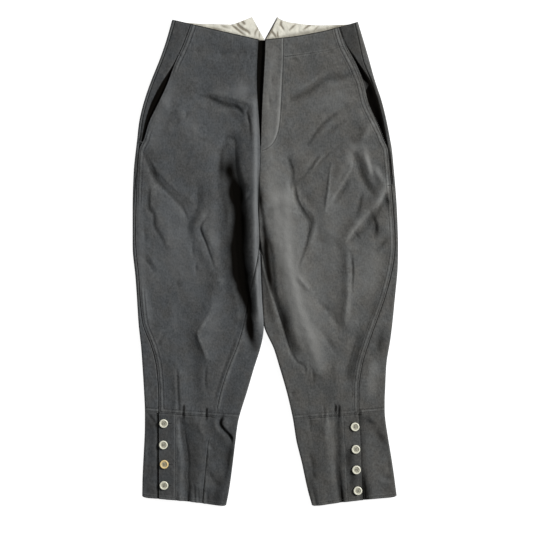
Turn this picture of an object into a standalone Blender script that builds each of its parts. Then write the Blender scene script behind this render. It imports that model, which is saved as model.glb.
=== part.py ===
"""Cropped jodhpurs laid flat: high waist with a fishtail back, full thighs and buttoned cuffs.

The garment lies on its back. X runs across it, Y runs up to the waist, Z is up from the
surface it lies on, and the origin is at the bottom centre of its box. Right and left are
the wearer's own, so the right leg is on the -X side.

Each leg is a run of flattened rings, one for each row of its table. A ring runs from the
centre front or the inseam out over the front, round the outer fold, back along the surface
and, below the crotch, round the inner fold and up to the inseam. The rings are cut at the
seams into the pieces that were sewn together.
"""

import math

import bpy
import numpy as np

MM = 0.001

# Cloth, in metres
CLOTH = 1.2 * MM
LINING_CLOTH = 1.0 * MM
SEAM_GAP = 0.3 * MM
LAYER_GAP = 0.5 * MM

# Rings, in metres
FOLD_REACH = 3.2 * MM        # how far in from the outline a folded edge rounds over
SEAM_MARGIN = 2.0 * MM       # least way from that rounding to the side seam
RIDGE_REACH = 48.0 * MM      # how far the raised inner edge spreads over the panel
EDGE_CALM = 20.0 * MM        # folds die away over this distance from a folded edge
LOWEST_TOP = 3.3 * MM        # the front can't sink below this: it lies on the back there
TANGENT_STEP = 0.5 * MM

# Columns of grid across each stretch of a ring
FRONT_COLUMNS = 12
SIDE_COLUMNS = 2
OUTER_FOLD_COLUMNS = 4
FLOOR_COLUMNS = 5
INNER_FOLD_COLUMNS = 4
WRAP_COLUMNS = 2

# Fishtail back, in metres
PEAK_FROM_CENTRE = 22.5 * MM
BACK_EDGE_FADE_ROWS = 6

# Pockets, fly, lining and plackets, in metres
POCKET_DROP = 2.6 * MM       # how far the pocket bearer lies under the front's face
POCKET_UNDERLAP = 12.0 * MM
POCKET_ROWS = 14
MOUTH_SHARE = 0.7            # most of the way to the side seam that a pocket's mouth takes
FLY_ROWS = 13
FLY_UNDERLAP = 12.0 * MM
FLY_SINK = 1.6 * MM
LINING_FROM_OUTLINE = 7.0 * MM
LINING_EDGE_INSET = 1.5 * MM
LINING_UNDER_FRONT = 30.0 * MM
LINING_COLUMNS = 9           # from the side to the fishtail's peak
NOTCH_COLUMNS = 3            # from the peak to the centre back
LINING_ROWS = 3
PLACKET_UNDERLAP = 20.0 * MM
PLACKET_SINK = CLOTH + LAYER_GAP
STRIP_WIDTH = 30.0 * MM      # the button strip, which lies flat
STRIP_FADE = 12.0 * MM
CUFF_TOP_Y = -262.0 * MM
CUFF_FADE = 14.0 * MM

# Buttons, in metres: a 24-line trouser button
BUTTON_RADIUS = 7.75 * MM
BUTTON_HEIGHT = 3.0 * MM
BUTTON_RIM = 1.6 * MM        # width of the raised rim
BUTTON_BEVEL = 0.6 * MM
BUTTON_WELL = 0.8 * MM
BUTTON_SIDES = 14
HOLE_COUNT = 4
HOLE_RADIUS = 1.0 * MM
HOLE_OFFSET = 2.3 * MM
HOLE_SIDES = 5
WELD_DISTANCE = 0.01 * MM

# Edges sharper than these are drawn sharp
CLOTH_SHARP_ANGLE = math.radians(50.0)
BUTTON_SHARP_ANGLE = math.radians(40.0)

# Rows of each leg, from the waist down, in millimetres. Outer is the outline's side and
# inner is the centre front, or the leg's inner outline below the crotch. Side and front are
# the side seam and the front's outer edge, seam is the front's inner edge, back is the
# centre back. Edge and ridge are the heights of the outer and the inner edge. Lift is 0
# where the back ends at the centre back and 1 where it wraps round to the inseam.
ROW_COLUMNS = (
    "outer_x", "outer_y", "inner_x", "inner_y", "side_x", "front_x", "seam_x", "back_x",
    "edge", "ridge", "lift",
)
RIGHT_ROWS = (
    (-168.0, 436.0, -12.0, 400.0, -162.0, -134.0, -12.0, -1.6, 7.2, 8.6, 0.0),
    (-178.5, 399.0, -14.0, 366.5, -173.0, -147.0, -14.0, -2.4, 7.2, 8.8, 0.0),
    (-191.0, 363.0, -15.0, 330.5, -185.5, -163.0, -15.0, -2.9, 7.4, 9.2, 0.0),
    (-205.5, 327.0, -14.0, 296.0, -200.0, -176.0, -14.0, -3.6, 7.5, 9.5, 0.0),
    (-218.0, 291.0, -11.5, 262.0, -212.5, -192.0, -11.5, -4.2, 7.5, 10.5, 0.0),
    (-227.0, 255.0, -9.5, 228.0, -221.5, -209.0, -9.5, -4.9, 7.0, 12.0, 0.0),
    (-231.0, 222.0, -8.7, 198.0, -225.5, -219.0, -8.7, -5.4, 6.5, 13.0, 0.0),
    (-233.5, 201.0, -9.2, 179.0, -228.0, -228.0, -9.2, -5.8, 6.5, 14.0, 0.0),
    (-236.0, 165.0, -10.6, 147.0, -230.5, -230.5, -10.6, -6.4, 6.5, 15.0, 0.0),
    (-238.0, 111.0, -12.6, 96.5, -232.5, -232.5, -12.6, -7.2, 6.5, 16.0, 0.0),
    (-239.4, 57.0, -10.3, 46.0, -234.0, -234.0, -10.3, -8.2, 6.5, 16.0, 0.0),
    (-238.0, 17.0, -9.2, 10.0, -232.5, -232.5, -13.0, -9.2, 6.5, 16.0, 0.9),
    (-233.5, -24.0, -8.0, -29.5, -228.0, -228.0, -21.0, -8.0, 6.5, 15.0, 1.0),
    (-231.0, -69.0, -6.2, -73.0, -225.5, -225.5, -31.0, -6.2, 6.5, 13.5, 1.0),
    (-228.5, -114.0, -3.8, -118.0, -220.0, -220.0, -40.0, -3.8, 6.0, 11.0, 1.0),
    (-224.5, -150.0, -9.5, -154.0, -206.0, -206.0, -50.5, -9.5, 6.0, 8.5, 1.0),
    (-221.0, -186.0, -21.0, -190.0, -196.5, -196.5, -65.0, -21.0, 6.0, 7.5, 1.0),
    (-218.5, -231.0, -34.5, -236.5, -192.5, -192.5, -80.0, -34.5, 6.0, 7.0, 1.0),
    (-216.5, -271.0, -49.0, -283.0, -192.0, -192.0, -90.0, -49.0, 6.0, 7.0, 1.0),
    (-217.5, -307.0, -53.5, -321.0, -192.0, -192.0, -101.0, -53.5, 6.0, 7.5, 1.0),
    (-219.5, -348.0, -58.5, -362.5, -192.0, -192.0, -106.0, -58.5, 6.0, 6.5, 1.0),
    (-221.5, -389.5, -64.0, -404.0, -192.0, -192.0, -110.0, -64.0, 6.0, 6.0, 1.0),
    (-222.0, -425.5, -70.5, -441.7, -192.0, -192.0, -113.0, -70.5, 6.0, 6.0, 1.0),
)
LEFT_ROWS = (
    (167.0, 432.0, 0.0, 400.0, 161.0, 133.0, 0.0, -1.2, 7.2, 8.6, 0.0),
    (176.0, 399.0, -1.0, 366.5, 169.0, 145.0, -1.0, -2.0, 7.2, 8.8, 0.0),
    (186.5, 363.0, -3.0, 330.5, 177.0, 163.0, -3.0, -2.5, 7.4, 9.2, 0.0),
    (196.5, 327.0, -5.0, 296.0, 190.5, 175.0, -5.0, -3.2, 7.5, 9.5, 0.0),
    (208.5, 291.0, -6.5, 262.0, 203.0, 188.0, -6.5, -3.8, 7.5, 10.5, 0.0),
    (217.5, 255.0, -7.5, 228.0, 212.0, 203.0, -7.5, -4.5, 7.0, 12.0, 0.0),
    (224.0, 222.0, -7.9, 198.0, 218.5, 213.0, -7.9, -5.0, 6.5, 13.0, 0.0),
    (227.5, 201.0, -8.4, 179.0, 221.5, 221.5, -8.4, -5.4, 6.5, 13.5, 0.0),
    (231.0, 165.0, -9.8, 147.0, 224.5, 224.5, -9.8, -6.0, 6.5, 13.5, 0.0),
    (235.5, 111.0, -11.8, 96.5, 229.0, 229.0, -11.8, -6.8, 6.5, 13.5, 0.0),
    (239.0, 57.0, -9.5, 46.0, 233.0, 233.0, -9.5, -7.8, 6.5, 13.5, 0.0),
    (239.4, 21.0, -8.2, 10.0, 233.5, 233.5, -4.4, -8.2, 6.5, 13.0, 0.9),
    (237.0, -19.0, -6.8, -29.5, 227.5, 227.5, 4.0, -6.8, 6.5, 12.0, 1.0),
    (232.5, -64.0, -4.6, -73.0, 215.5, 215.5, 17.5, -4.6, 6.5, 11.0, 1.0),
    (228.0, -109.0, -0.5, -118.0, 199.5, 199.5, 31.5, -0.5, 6.0, 9.5, 1.0),
    (223.5, -145.0, 13.0, -154.0, 186.5, 186.5, 42.5, 13.0, 6.0, 8.5, 1.0),
    (218.0, -181.0, 25.5, -190.0, 175.5, 175.5, 53.5, 25.5, 6.0, 7.5, 1.0),
    (215.5, -226.0, 39.0, -236.5, 168.5, 168.5, 66.5, 39.0, 6.0, 7.0, 1.0),
    (214.5, -271.0, 50.0, -285.0, 168.5, 168.5, 77.0, 50.0, 6.0, 6.5, 1.0),
    (219.0, -308.5, 56.0, -323.0, 171.5, 171.5, 84.0, 56.0, 6.0, 6.5, 1.0),
    (225.0, -348.0, 64.5, -362.5, 173.0, 173.0, 89.0, 64.5, 6.0, 6.5, 1.0),
    (231.0, -388.0, 72.5, -402.0, 174.5, 174.5, 95.0, 72.5, 6.0, 6.0, 1.0),
    (237.0, -424.5, 84.0, -441.7, 176.0, 176.0, 101.0, 84.0, 6.0, 6.0, 1.0),
)
CUFF_SEAM_ROW = 36           # fine rows: two for each key row

# Gap between the front's edge and the pocket bearer's face, one for each key row, in mm
RIGHT_MOUTH = (3.0, 3.0, 3.0, 6.5, 6.0, 5.0, 3.5, 3.0)
LEFT_MOUTH = (3.0, 3.0, 3.5, 6.5, 11.0, 7.0, 3.5, 3.0)

# The back's waist edge, in millimetres, from the side to the notch at the centre back
RIGHT_BACK_EDGE = (
    (-168.0, 436.0), (-150.0, 432.0), (-121.0, 429.5), (-60.0, 428.0), (-51.0, 431.0),
    (-24.1, 441.7), (-1.6, 400.7),
)
LEFT_BACK_EDGE = (
    (-1.2, 400.7), (21.3, 441.7), (28.0, 436.5), (43.0, 432.0), (71.5, 428.0),
    (100.0, 426.5), (150.0, 428.0), (167.0, 432.0),
)
RIGHT_WAIST_DIP = 0.0
LEFT_WAIST_DIP = 5.0         # how far the front's waist edge bows down, in mm

# Largest folds, in millimetres: name, height (a trough is negative), half width, and the
# places that the fold runs through
RIGHT_FOLDS = (
    ("crotch trough", -7.0, 15.0, ((-62, 215), (-65, 165), (-49, 129), (-45, 21), (-28, -87))),
    ("hip drag", -2.6, 13.0, ((-112, 300), (-70, 288), (-50, 272))),
    ("pocket crease", -2.4, 12.0, ((-222, 204), (-180, 138), (-148, 102))),
    ("hip swell", 2.5, 30.0, ((-150, 260), (-120, 180))),
    ("thigh ridge", 3.2, 14.0, ((-112, 78), (-94, -6))),
    ("thigh side ridge", 2.6, 14.0, ((-205, 129), (-175, 35))),
    ("knee ridge", 4.2, 15.0, ((-82, -36), (-121, -128), (-107, -168))),
    ("shin ridge", 2.4, 12.0, ((-157, -204), (-154, -267))),
    ("shin trough", -2.0, 12.0, ((-130, -200), (-128, -255))),
    ("cuff valley", -2.2, 10.0, ((-150, -300), (-141, -429))),
    ("cuff ridge", 2.4, 13.0, ((-122, -290), (-120, -400))),
    ("cuff tuck", 3.0, 11.0, ((-84, -292), (-66, -325))),
)
LEFT_FOLDS = (
    ("inseam valley", -4.5, 12.0, ((16, 125), (19, 39), (30, -33), (46, -123), (66, -168))),
    ("thigh ridge", 4.5, 17.0, ((45, 129), (55, 39), (70, -33), (86, -105), (100, -195))),
    ("hip drag", -2.2, 13.0, ((50, 294), (107, 327), (145, 338))),
    ("upper drag", -2.2, 12.0, ((62, 201), (143, 273))),
    ("middle drag", -2.6, 12.0, ((57, 141), (156, 213))),
    ("hip swell", 2.4, 30.0, ((120, 240), (150, 260))),
    ("crotch drag", -2.8, 13.0, ((32, 210), (57, 138), (84, 71), (100, 40))),
    ("side ridge", 3.0, 14.0, ((109, 93), (120, 129), (152, 174))),
    ("low side ridge", 3.0, 14.0, ((143, 39), (197, 102), (212, 138))),
    ("thigh side ridge", 3.0, 14.0, ((152, 21), (156, -33), (145, -114))),
    ("knee trough", -2.2, 12.0, ((105, -69), (143, -123))),
    ("shin ridge", 2.2, 12.0, ((130, -190), (128, -260))),
    ("cuff valley", -2.4, 9.0, ((128, -262), (134, -390), (140, -429))),
    ("cuff swell", 2.2, 15.0, ((105, -300), (115, -390))),
)

# Button centres, in millimetres
RIGHT_BUTTONS = ((-183.0, -291.5), (-183.5, -330.0), (-182.0, -365.0), (-182.5, -403.0))
LEFT_BUTTONS = ((161.5, -297.5), (163.0, -338.0), (164.0, -375.0), (166.5, -412.5))

# Finishes: colour, roughness
DRILL_RIGHT = (0.066, 0.069, 0.072, 1.0)
DRILL_LEFT = (0.086, 0.086, 0.083, 1.0)
DRILL_INSIDE = (0.020, 0.020, 0.020, 1.0)
LINING_CREAM = (0.74, 0.69, 0.58, 1.0)
BUTTON_SHELL = (0.70, 0.67, 0.58, 1.0)
BUTTON_TAN = (0.62, 0.50, 0.28, 1.0)
CLOTH_ROUGHNESS = 0.92
LINING_ROUGHNESS = 0.80
BUTTON_ROUGHNESS = 0.35


def smooth(t):
    """Ease t from 0 to 1 with flat ends."""
    t = np.clip(t, 0.0, 1.0)
    return t * t * (3.0 - 2.0 * t)


def between_rows(values):
    """Put one value between each pair, on a curve that never passes outside the pair."""
    keys = np.asarray(values, dtype=float)
    before = np.concatenate((keys[:1], keys[:-2]))
    after = np.concatenate((keys[2:], keys[-1:]))
    middle = (9.0 * (keys[:-1] + keys[1:]) - before - after) / 16.0
    low = np.minimum(keys[:-1], keys[1:])
    high = np.maximum(keys[:-1], keys[1:])
    fine = np.empty(2 * len(keys) - 1)
    fine[0::2] = keys
    fine[1::2] = np.clip(middle, low, high)
    return fine


def fold_height(folds, x, y):
    """Sum of the folds at x, y: each a bell across the nearest point of its own line."""
    total = np.zeros(np.broadcast(x, y).shape)
    for _name, height, half_width, places in folds:
        nearest = np.full(total.shape, np.inf)
        for start, end in zip(places[:-1], places[1:]):
            ax, ay = start[0] * MM, start[1] * MM
            bx, by = end[0] * MM - ax, end[1] * MM - ay
            along = np.clip(((x - ax) * bx + (y - ay) * by) / (bx * bx + by * by), 0.0, 1.0)
            away = np.hypot(x - ax - along * bx, y - ay - along * by)
            nearest = np.minimum(nearest, away)
        total += height * MM * np.exp(-((nearest / (half_width * MM)) ** 2))
    return total


class Leg:
    """One half of the garment, as rows of flattened rings."""

    def __init__(self, name, out, rows, mouth, folds, back_edge, waist_dip, buttons):
        self.name = name
        self.out = out
        self.folds = folds
        self.back_edge = back_edge
        self.buttons = buttons
        for column, values in zip(ROW_COLUMNS, zip(*rows)):
            setattr(self, column, between_rows(values)[:, None] * MM)
        self.lift = (self.lift / MM) ** 2
        self.mouth = between_rows(mouth)[:POCKET_ROWS, None] * MM
        self.outer_fold_x = self.outer_x - out * FOLD_REACH
        self.inner_fold_x = self.inner_x + out * FOLD_REACH
        count = len(self.outer_x)
        fade = 1.0 - np.arange(count) / BACK_EDGE_FADE_ROWS
        self.waist_share = np.clip(fade, 0.0, 1.0)[:, None]
        self.waist_dip = waist_dip * MM * self.waist_share
        seam_limit = out * (self.outer_fold_x - out * SEAM_MARGIN)
        self.side_x = out * np.minimum(out * self.side_x, seam_limit)
        self.front_x = out * np.minimum(out * self.front_x, seam_limit)
        self.front_x[POCKET_ROWS:] = self.side_x[POCKET_ROWS:]

    def line_y(self, x):
        """Each row is a straight, sloping line from the outer to the inner edge."""
        share = (x - self.outer_x) / (self.inner_x - self.outer_x)
        bow = self.waist_dip * np.sin(math.pi * np.clip(share, 0.0, 1.0))
        return self.outer_y + (self.inner_y - self.outer_y) * share - bow

    def back_y(self, x):
        """The back's rows rise to the fishtail's own edge towards the waist."""
        edge_x, edge_y = np.array(self.back_edge).T * MM
        order = np.argsort(edge_x)
        waist = self.outer_y[0] + (self.inner_y[0] - self.outer_y[0]) * (
            (x - self.outer_x[0]) / (self.inner_x[0] - self.outer_x[0])
        )
        rise = np.interp(x, edge_x[order], edge_y[order]) - waist
        share = (x - self.outer_x) / (self.inner_x - self.outer_x)
        plain = self.outer_y + (self.inner_y - self.outer_y) * share
        return plain + self.waist_share * rise

    def height(self, x, y):
        """Upper face of the front: the edges' heights, the raised inner edge and the folds."""
        from_inner = np.abs(x - self.inner_x)
        from_outer = np.abs(x - self.outer_x)
        base = self.edge + (self.ridge - self.edge) * np.exp(-((from_inner / RIDGE_REACH) ** 2))
        calm = smooth((from_outer - FOLD_REACH) / EDGE_CALM)
        inner_calm = smooth((from_inner - FOLD_REACH) / EDGE_CALM)
        calm = calm * (1.0 - self.lift + self.lift * inner_calm)
        past_side = self.out * (self.side_x - x)
        strip = 1.0 - smooth((past_side - STRIP_WIDTH) / STRIP_FADE)
        calm = calm * (1.0 - strip * smooth((CUFF_TOP_Y - y) / CUFF_FADE))
        return np.maximum(base + calm * fold_height(self.folds, x, y), LOWEST_TOP)

    def top(self, x):
        """Points on the upper face at x, and the way the ring runs there."""
        ends = []
        for step in (0.0, -TANGENT_STEP * self.out, TANGENT_STEP * self.out):
            y = self.line_y(x + step)
            ends.append(np.stack((x + step, y, self.height(x + step, y)), axis=-1))
        return ends[0], ends[2] - ends[1]

    def folded_edge(self, centre_x, reach, angles):
        """Half an ellipse from the surface to the upper face, open towards the panel."""
        y = self.line_y(centre_x)
        half = self.height(centre_x, y) / 2.0
        x = centre_x + reach * np.cos(angles)
        z = half * (1.0 + np.sin(angles))
        points = np.stack((x, self.line_y(x), z), axis=-1)
        turn = np.sign(angles[:, -1:] - angles[:, :1])
        level = np.zeros_like(x)
        way = np.stack((-turn * reach * np.sin(angles), level, turn * half * np.cos(angles)), axis=-1)
        return points, way

    def front_ring(self):
        """From the centre front or inseam out to the pocket edge or side seam."""
        share = np.linspace(0.0, 1.0, FRONT_COLUMNS + 1)[None, :]
        return self.top(self.seam_x + (self.front_x - self.seam_x) * share)

    def floor(self, x):
        """Points along the surface at x, and the way the ring runs there."""
        level = np.zeros_like(x)
        points = np.stack((x, self.back_y(x), level), axis=-1)
        way = np.stack((np.full_like(x, -self.out), level, level), axis=-1)
        return points, way

    def back_ring(self, underlap):
        """From the side seam round the outline and along the surface to the centre back,
        or below the crotch on round the inner fold to the inseam. With an underlap the
        ring starts farther in, under the front's edge, sunk by the placket's depth."""
        share = np.linspace(0.0, 1.0, SIDE_COLUMNS + 1)[None, :]
        side, side_way = self.top(self.side_x + (self.outer_fold_x - self.side_x) * share)
        if underlap:
            side[..., 2] -= PLACKET_SINK * (1.0 - smooth(share))
            start = self.side_x - self.out * PLACKET_UNDERLAP
            lap, lap_way = self.top(start + (self.side_x - start) * share)
            lap[..., 2] -= PLACKET_SINK
            side = np.concatenate((lap[:, :-1], side), axis=1)
            side_way = np.concatenate((lap_way[:, :-1], side_way), axis=1)
        down = np.linspace(math.pi / 2.0, -math.pi / 2.0, OUTER_FOLD_COLUMNS + 1)[None, :]
        outer, outer_way = self.folded_edge(
            self.outer_fold_x, self.out * FOLD_REACH, down * np.ones_like(self.outer_x)
        )
        up = np.linspace(-math.pi / 2.0, math.pi / 2.0, INNER_FOLD_COLUMNS + 1)[None, :]
        inner, inner_way = self.folded_edge(
            self.inner_fold_x, -self.out * FOLD_REACH, up * np.ones_like(self.outer_x)
        )
        share = np.linspace(0.0, 1.0, WRAP_COLUMNS + 1)[None, 1:]
        wrap, wrap_way = self.top(self.inner_fold_x + (self.seam_x - self.inner_fold_x) * share)
        wrapped = np.concatenate((inner, wrap), axis=1)
        wrapped_way = np.concatenate((inner_way, wrap_way), axis=1)
        share = np.linspace(1.0, 0.0, wrapped.shape[1])[None, :]
        flat, _way = self.floor(self.back_x + self.out * PEAK_FROM_CENTRE * share)
        lift = self.lift[..., None]
        end = flat * (1.0 - lift) + wrapped * lift
        end_way = np.where(lift > 0.999, wrapped_way, np.gradient(end, axis=1))
        share = np.linspace(0.0, 1.0, FLOOR_COLUMNS + 1)[None, 1:-1]
        middle, middle_way = self.floor(
            self.outer_fold_x + (end[:, :1, 0] - self.outer_fold_x) * share
        )
        points = np.concatenate((side[:, :-1], outer, middle, end), axis=1)
        way = np.concatenate((side_way[:, :-1], outer_way, middle_way, end_way), axis=1)
        return points, way

    def bearer_ring(self):
        """The pocket bearer: from under the front's edge, out of the mouth to the side seam."""
        rows = slice(0, POCKET_ROWS)
        front = self.front_x
        mouth = np.zeros_like(front)
        mouth[rows] = self.mouth
        widest = MOUTH_SHARE * np.abs(self.side_x - front)
        face = front + self.out * np.minimum(mouth, widest)
        stations = (
            (front - self.out * POCKET_UNDERLAP, 1.0),
            (front - self.out * POCKET_UNDERLAP / 2.0, 1.0),
            (front, 1.0),
            ((front + face) / 2.0, 0.9),
            (face, 0.15),
            ((face + self.side_x) / 2.0, 0.0),
            (self.side_x, 0.0),
        )
        x = np.concatenate([station[0] for station in stations], axis=1)
        drop = np.array([station[1] for station in stations])[None, :] * POCKET_DROP
        points, _way = self.top(x)
        points[..., 2] -= drop
        return points[rows], np.gradient(points, axis=1)[rows]

    def height_at(self, x, y):
        """Height of the upper face at one place, read between the two rows it lies between."""
        rows_x = np.full_like(self.outer_x, x)
        rows_y = self.line_y(rows_x)[:, 0]
        rows_z = self.height(rows_x, self.line_y(rows_x))[:, 0]
        return float(np.interp(y, rows_y[::-1], rows_z[::-1]))


def unit(vectors):
    """Vectors scaled to length one."""
    return vectors / np.linalg.norm(vectors, axis=-1, keepdims=True)


def clothed(points, way, side, thickness):
    """Outer and inner faces of a wall, the inner one moved in along the normals."""
    down = np.gradient(points, axis=0)
    normals = unit(np.cross(unit(way), unit(down))) * -side
    return points, points - normals * thickness


def pull_back(faces, way, first, last):
    """Move the two end columns back from their seams by half the seam gap."""
    for face in faces:
        face[:, 0] += unit(way[:, 0]) * first * SEAM_GAP / 2.0
        face[:, -1] -= unit(way[:, -1]) * last * SEAM_GAP / 2.0


def pull_rows(faces, top, bottom):
    """Move the first and last rows back from a cross seam by half the seam gap."""
    for face in faces:
        face[0, :, 1] -= top * SEAM_GAP / 2.0
        face[-1, :, 1] += bottom * SEAM_GAP / 2.0


def material(name, colour, roughness):
    """A plain finish with the piece's own colour."""
    finish = bpy.data.materials.new(name)
    finish.use_nodes = True
    shader = finish.node_tree.nodes["Principled BSDF"]
    shader.inputs["Base Color"].default_value = colour
    shader.inputs["Roughness"].default_value = roughness
    shader.inputs["Metallic"].default_value = 0.0
    return finish


def wall(name, outer, inner, finish, collection):
    """A closed wall between two grids of points of the same size."""
    rows, columns = outer.shape[:2]
    count = rows * columns
    points = np.concatenate((outer.reshape(-1, 3), inner.reshape(-1, 3)))
    index = np.arange(count).reshape(rows, columns)
    quads = np.stack(
        (index[:-1, :-1], index[1:, :-1], index[1:, 1:], index[:-1, 1:]), axis=-1
    ).reshape(-1, 4)
    loop = np.concatenate((index[0], index[1:, -1], index[-1, -2::-1], index[-2:0:-1, 0]))
    after = np.roll(loop, -1)
    rim = np.stack((loop, after, after + count, loop + count), axis=-1)
    faces = np.concatenate((quads, quads[:, ::-1] + count, rim))
    mesh = bpy.data.meshes.new(name)
    mesh.from_pydata(points.tolist(), [], faces.tolist())
    mesh.update()
    if signed_volume(points, faces) < 0.0:
        mesh.flip_normals()
    mesh.shade_smooth()
    mesh.set_sharp_from_angle(angle=CLOTH_SHARP_ANGLE)
    mesh.materials.append(finish)
    piece = bpy.data.objects.new(name, mesh)
    collection.objects.link(piece)
    return piece


def signed_volume(points, faces):
    """Volume inside the faces, negative when they point inwards."""
    a, b, c, d = (points[faces[:, corner]] for corner in range(4))
    first = np.einsum("ij,ij->i", a, np.cross(b, c)).sum()
    second = np.einsum("ij,ij->i", a, np.cross(c, d)).sum()
    return (first + second) / 6.0


def make_front(leg, finish, collection):
    """Front of the leg, from the waist to the cuff seam, and the cuff's front."""
    points, way = leg.front_ring()
    faces = clothed(points, way, leg.out, CLOTH)
    pull_back(faces, way, 1.0, 1.0)
    upper = [face[: CUFF_SEAM_ROW + 1].copy() for face in faces]
    pull_rows(upper, 0.0, 1.0)
    wall("front_" + leg.name, *upper, finish, collection)
    lower = [face[CUFF_SEAM_ROW:].copy() for face in faces]
    pull_rows(lower, 1.0, 0.0)
    wall("cuff_front_" + leg.name, *lower, finish, collection)


def make_back(leg, finish, collection):
    """Back of the leg, wrapped round the outline to its seams, and the cuff's back."""
    points, way = leg.back_ring(underlap=False)
    faces = clothed(points, way, leg.out, CLOTH)
    pull_back(faces, way, 1.0, 1.0)
    upper = [face[: CUFF_SEAM_ROW + 1].copy() for face in faces]
    pull_rows(upper, 0.0, 1.0)
    wall("back_" + leg.name, *upper, finish, collection)
    points, way = leg.back_ring(underlap=True)
    faces = clothed(points, way, leg.out, CLOTH)
    pull_back(faces, way, 0.0, 1.0)
    lower = [face[CUFF_SEAM_ROW:].copy() for face in faces]
    pull_rows(lower, 1.0, 0.0)
    wall("cuff_back_" + leg.name, *lower, finish, collection)


def make_bearer(leg, finish, collection):
    """Pocket bearer of one hip, which shows between the pocket's edge and the side seam."""
    points, way = leg.bearer_ring()
    faces = clothed(points, way, leg.out, LINING_CLOTH)
    pull_back(faces, way, 0.0, 1.0)
    wall("pocket_bearer_" + leg.name, *faces, finish, collection)


def make_fly(right, left, finish, collection):
    """Fly underlap, seen through the open slit between the two fronts."""
    rows = slice(0, FLY_ROWS)
    right_edge = right.seam_x[rows]
    left_edge = left.seam_x[rows]
    stations = (
        (right_edge - FLY_UNDERLAP, FLY_UNDERLAP, 0.0),
        (right_edge - FLY_UNDERLAP / 2.0, FLY_UNDERLAP / 2.0, 0.0),
        (right_edge, 0.0, 0.5),
        ((right_edge + left_edge) / 2.0, 0.0, 1.0),
        (left_edge, 0.0, 1.0),
        (left_edge + FLY_UNDERLAP, FLY_UNDERLAP, 1.0),
    )
    columns = []
    for x, away, sink in stations:
        fall = 1.0 - math.exp(-((away / RIDGE_REACH) ** 2))
        face = right.ridge[rows] - (right.ridge[rows] - right.edge[rows]) * fall
        z = face - CLOTH - LAYER_GAP - sink * FLY_SINK
        columns.append(np.concatenate((x, right.inner_y[rows], z), axis=1))
    points = np.stack(columns, axis=1)
    points[0, :, 1] -= LINING_EDGE_INSET
    faces = clothed(points, np.gradient(points, axis=1), 1.0, CLOTH)
    wall("fly_underlap", *faces, finish, collection)


def make_lining(leg, finish, collection):
    """Lining of the fishtail back, which shows above the front's waist edge."""
    start = leg.outer_x[0, 0] - leg.out * LINING_FROM_OUTLINE
    peak = leg.back_x[0, 0] + leg.out * PEAK_FROM_CENTRE
    end = leg.back_x[0, 0] + leg.out * SEAM_GAP / 2.0
    x = np.concatenate((
        np.linspace(start, peak, LINING_COLUMNS),
        np.linspace(peak, end, NOTCH_COLUMNS + 1)[1:],
    ))
    edge_x, edge_y = np.array(leg.back_edge).T * MM
    order = np.argsort(edge_x)
    high = np.interp(x, edge_x[order], edge_y[order]) - LINING_EDGE_INSET
    share = (x - leg.outer_x[0, 0]) / (leg.inner_x[0, 0] - leg.outer_x[0, 0])
    low = leg.outer_y[0, 0] + (leg.inner_y[0, 0] - leg.outer_y[0, 0]) * share
    low = low - LINING_UNDER_FRONT
    down = np.linspace(0.0, 1.0, LINING_ROWS)[:, None]
    y = high + (low - high) * down
    z = np.full_like(y, CLOTH + SEAM_GAP + LINING_CLOTH)
    outer = np.stack((np.broadcast_to(x, y.shape), y, z), axis=-1)
    inner = outer - np.array((0.0, 0.0, LINING_CLOTH))
    wall("back_lining_" + leg.name, outer, inner, finish, collection)


def button_mesh(cutters):
    """A turned four-hole button: a rounded rim round a sunk well."""
    rim = BUTTON_RADIUS - BUTTON_RIM
    profile = (
        (0.0, BUTTON_HEIGHT - BUTTON_WELL),
        (rim - BUTTON_BEVEL, BUTTON_HEIGHT - BUTTON_WELL),
        (rim, BUTTON_HEIGHT),
        (BUTTON_RADIUS - BUTTON_BEVEL, BUTTON_HEIGHT),
        (BUTTON_RADIUS, BUTTON_HEIGHT / 2.0),
        (BUTTON_RADIUS - BUTTON_BEVEL, 0.0),
        (0.0, 0.0),
    )
    outline = bpy.data.meshes.new("button_profile")
    points = [(radius, 0.0, z) for radius, z in profile]
    edges = [(i, i + 1) for i in range(len(points) - 1)]
    outline.from_pydata(points, edges, [])
    turned = bpy.data.objects.new("button_turned", outline)
    cutters.objects.link(turned)
    screw = turned.modifiers.new("turn", "SCREW")
    screw.steps = BUTTON_SIDES
    screw.render_steps = BUTTON_SIDES
    screw.use_merge_vertices = True
    screw.merge_threshold = WELD_DISTANCE
    for number in range(HOLE_COUNT):
        angle = (number + 0.5) * math.tau / HOLE_COUNT
        place = (HOLE_OFFSET * math.cos(angle), HOLE_OFFSET * math.sin(angle), BUTTON_HEIGHT / 2.0)
        bpy.ops.mesh.primitive_cylinder_add(
            vertices=HOLE_SIDES, radius=HOLE_RADIUS, depth=3.0 * BUTTON_HEIGHT, location=place
        )
        hole = bpy.context.object
        hole.name = "button_hole_cutter_" + str(number + 1)
        for holder in list(hole.users_collection):
            holder.objects.unlink(hole)
        cutters.objects.link(hole)
        hole.hide_render = True
        hole.display_type = "WIRE"
        cut = turned.modifiers.new("hole", "BOOLEAN")
        cut.operation = "DIFFERENCE"
        cut.object = hole
    bpy.context.view_layer.update()
    evaluated = turned.evaluated_get(bpy.context.evaluated_depsgraph_get())
    mesh = bpy.data.meshes.new_from_object(evaluated)
    bpy.data.objects.remove(turned)
    mesh.name = "button"
    mesh.shade_smooth()
    mesh.set_sharp_from_angle(angle=BUTTON_SHARP_ANGLE)
    return mesh


def make_buttons(leg, mesh, finishes, collection):
    """Four buttons down the cuff, each lying on the button strip."""
    for number, (x, y) in enumerate(leg.buttons):
        piece = bpy.data.objects.new("button_" + leg.name + "_" + str(number + 1), mesh.copy())
        piece.data.materials.clear()
        piece.data.materials.append(finishes[number])
        seat = leg.height_at(x * MM, y * MM) + SEAM_GAP
        piece.location = (x * MM, y * MM, seat)
        collection.objects.link(piece)


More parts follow.
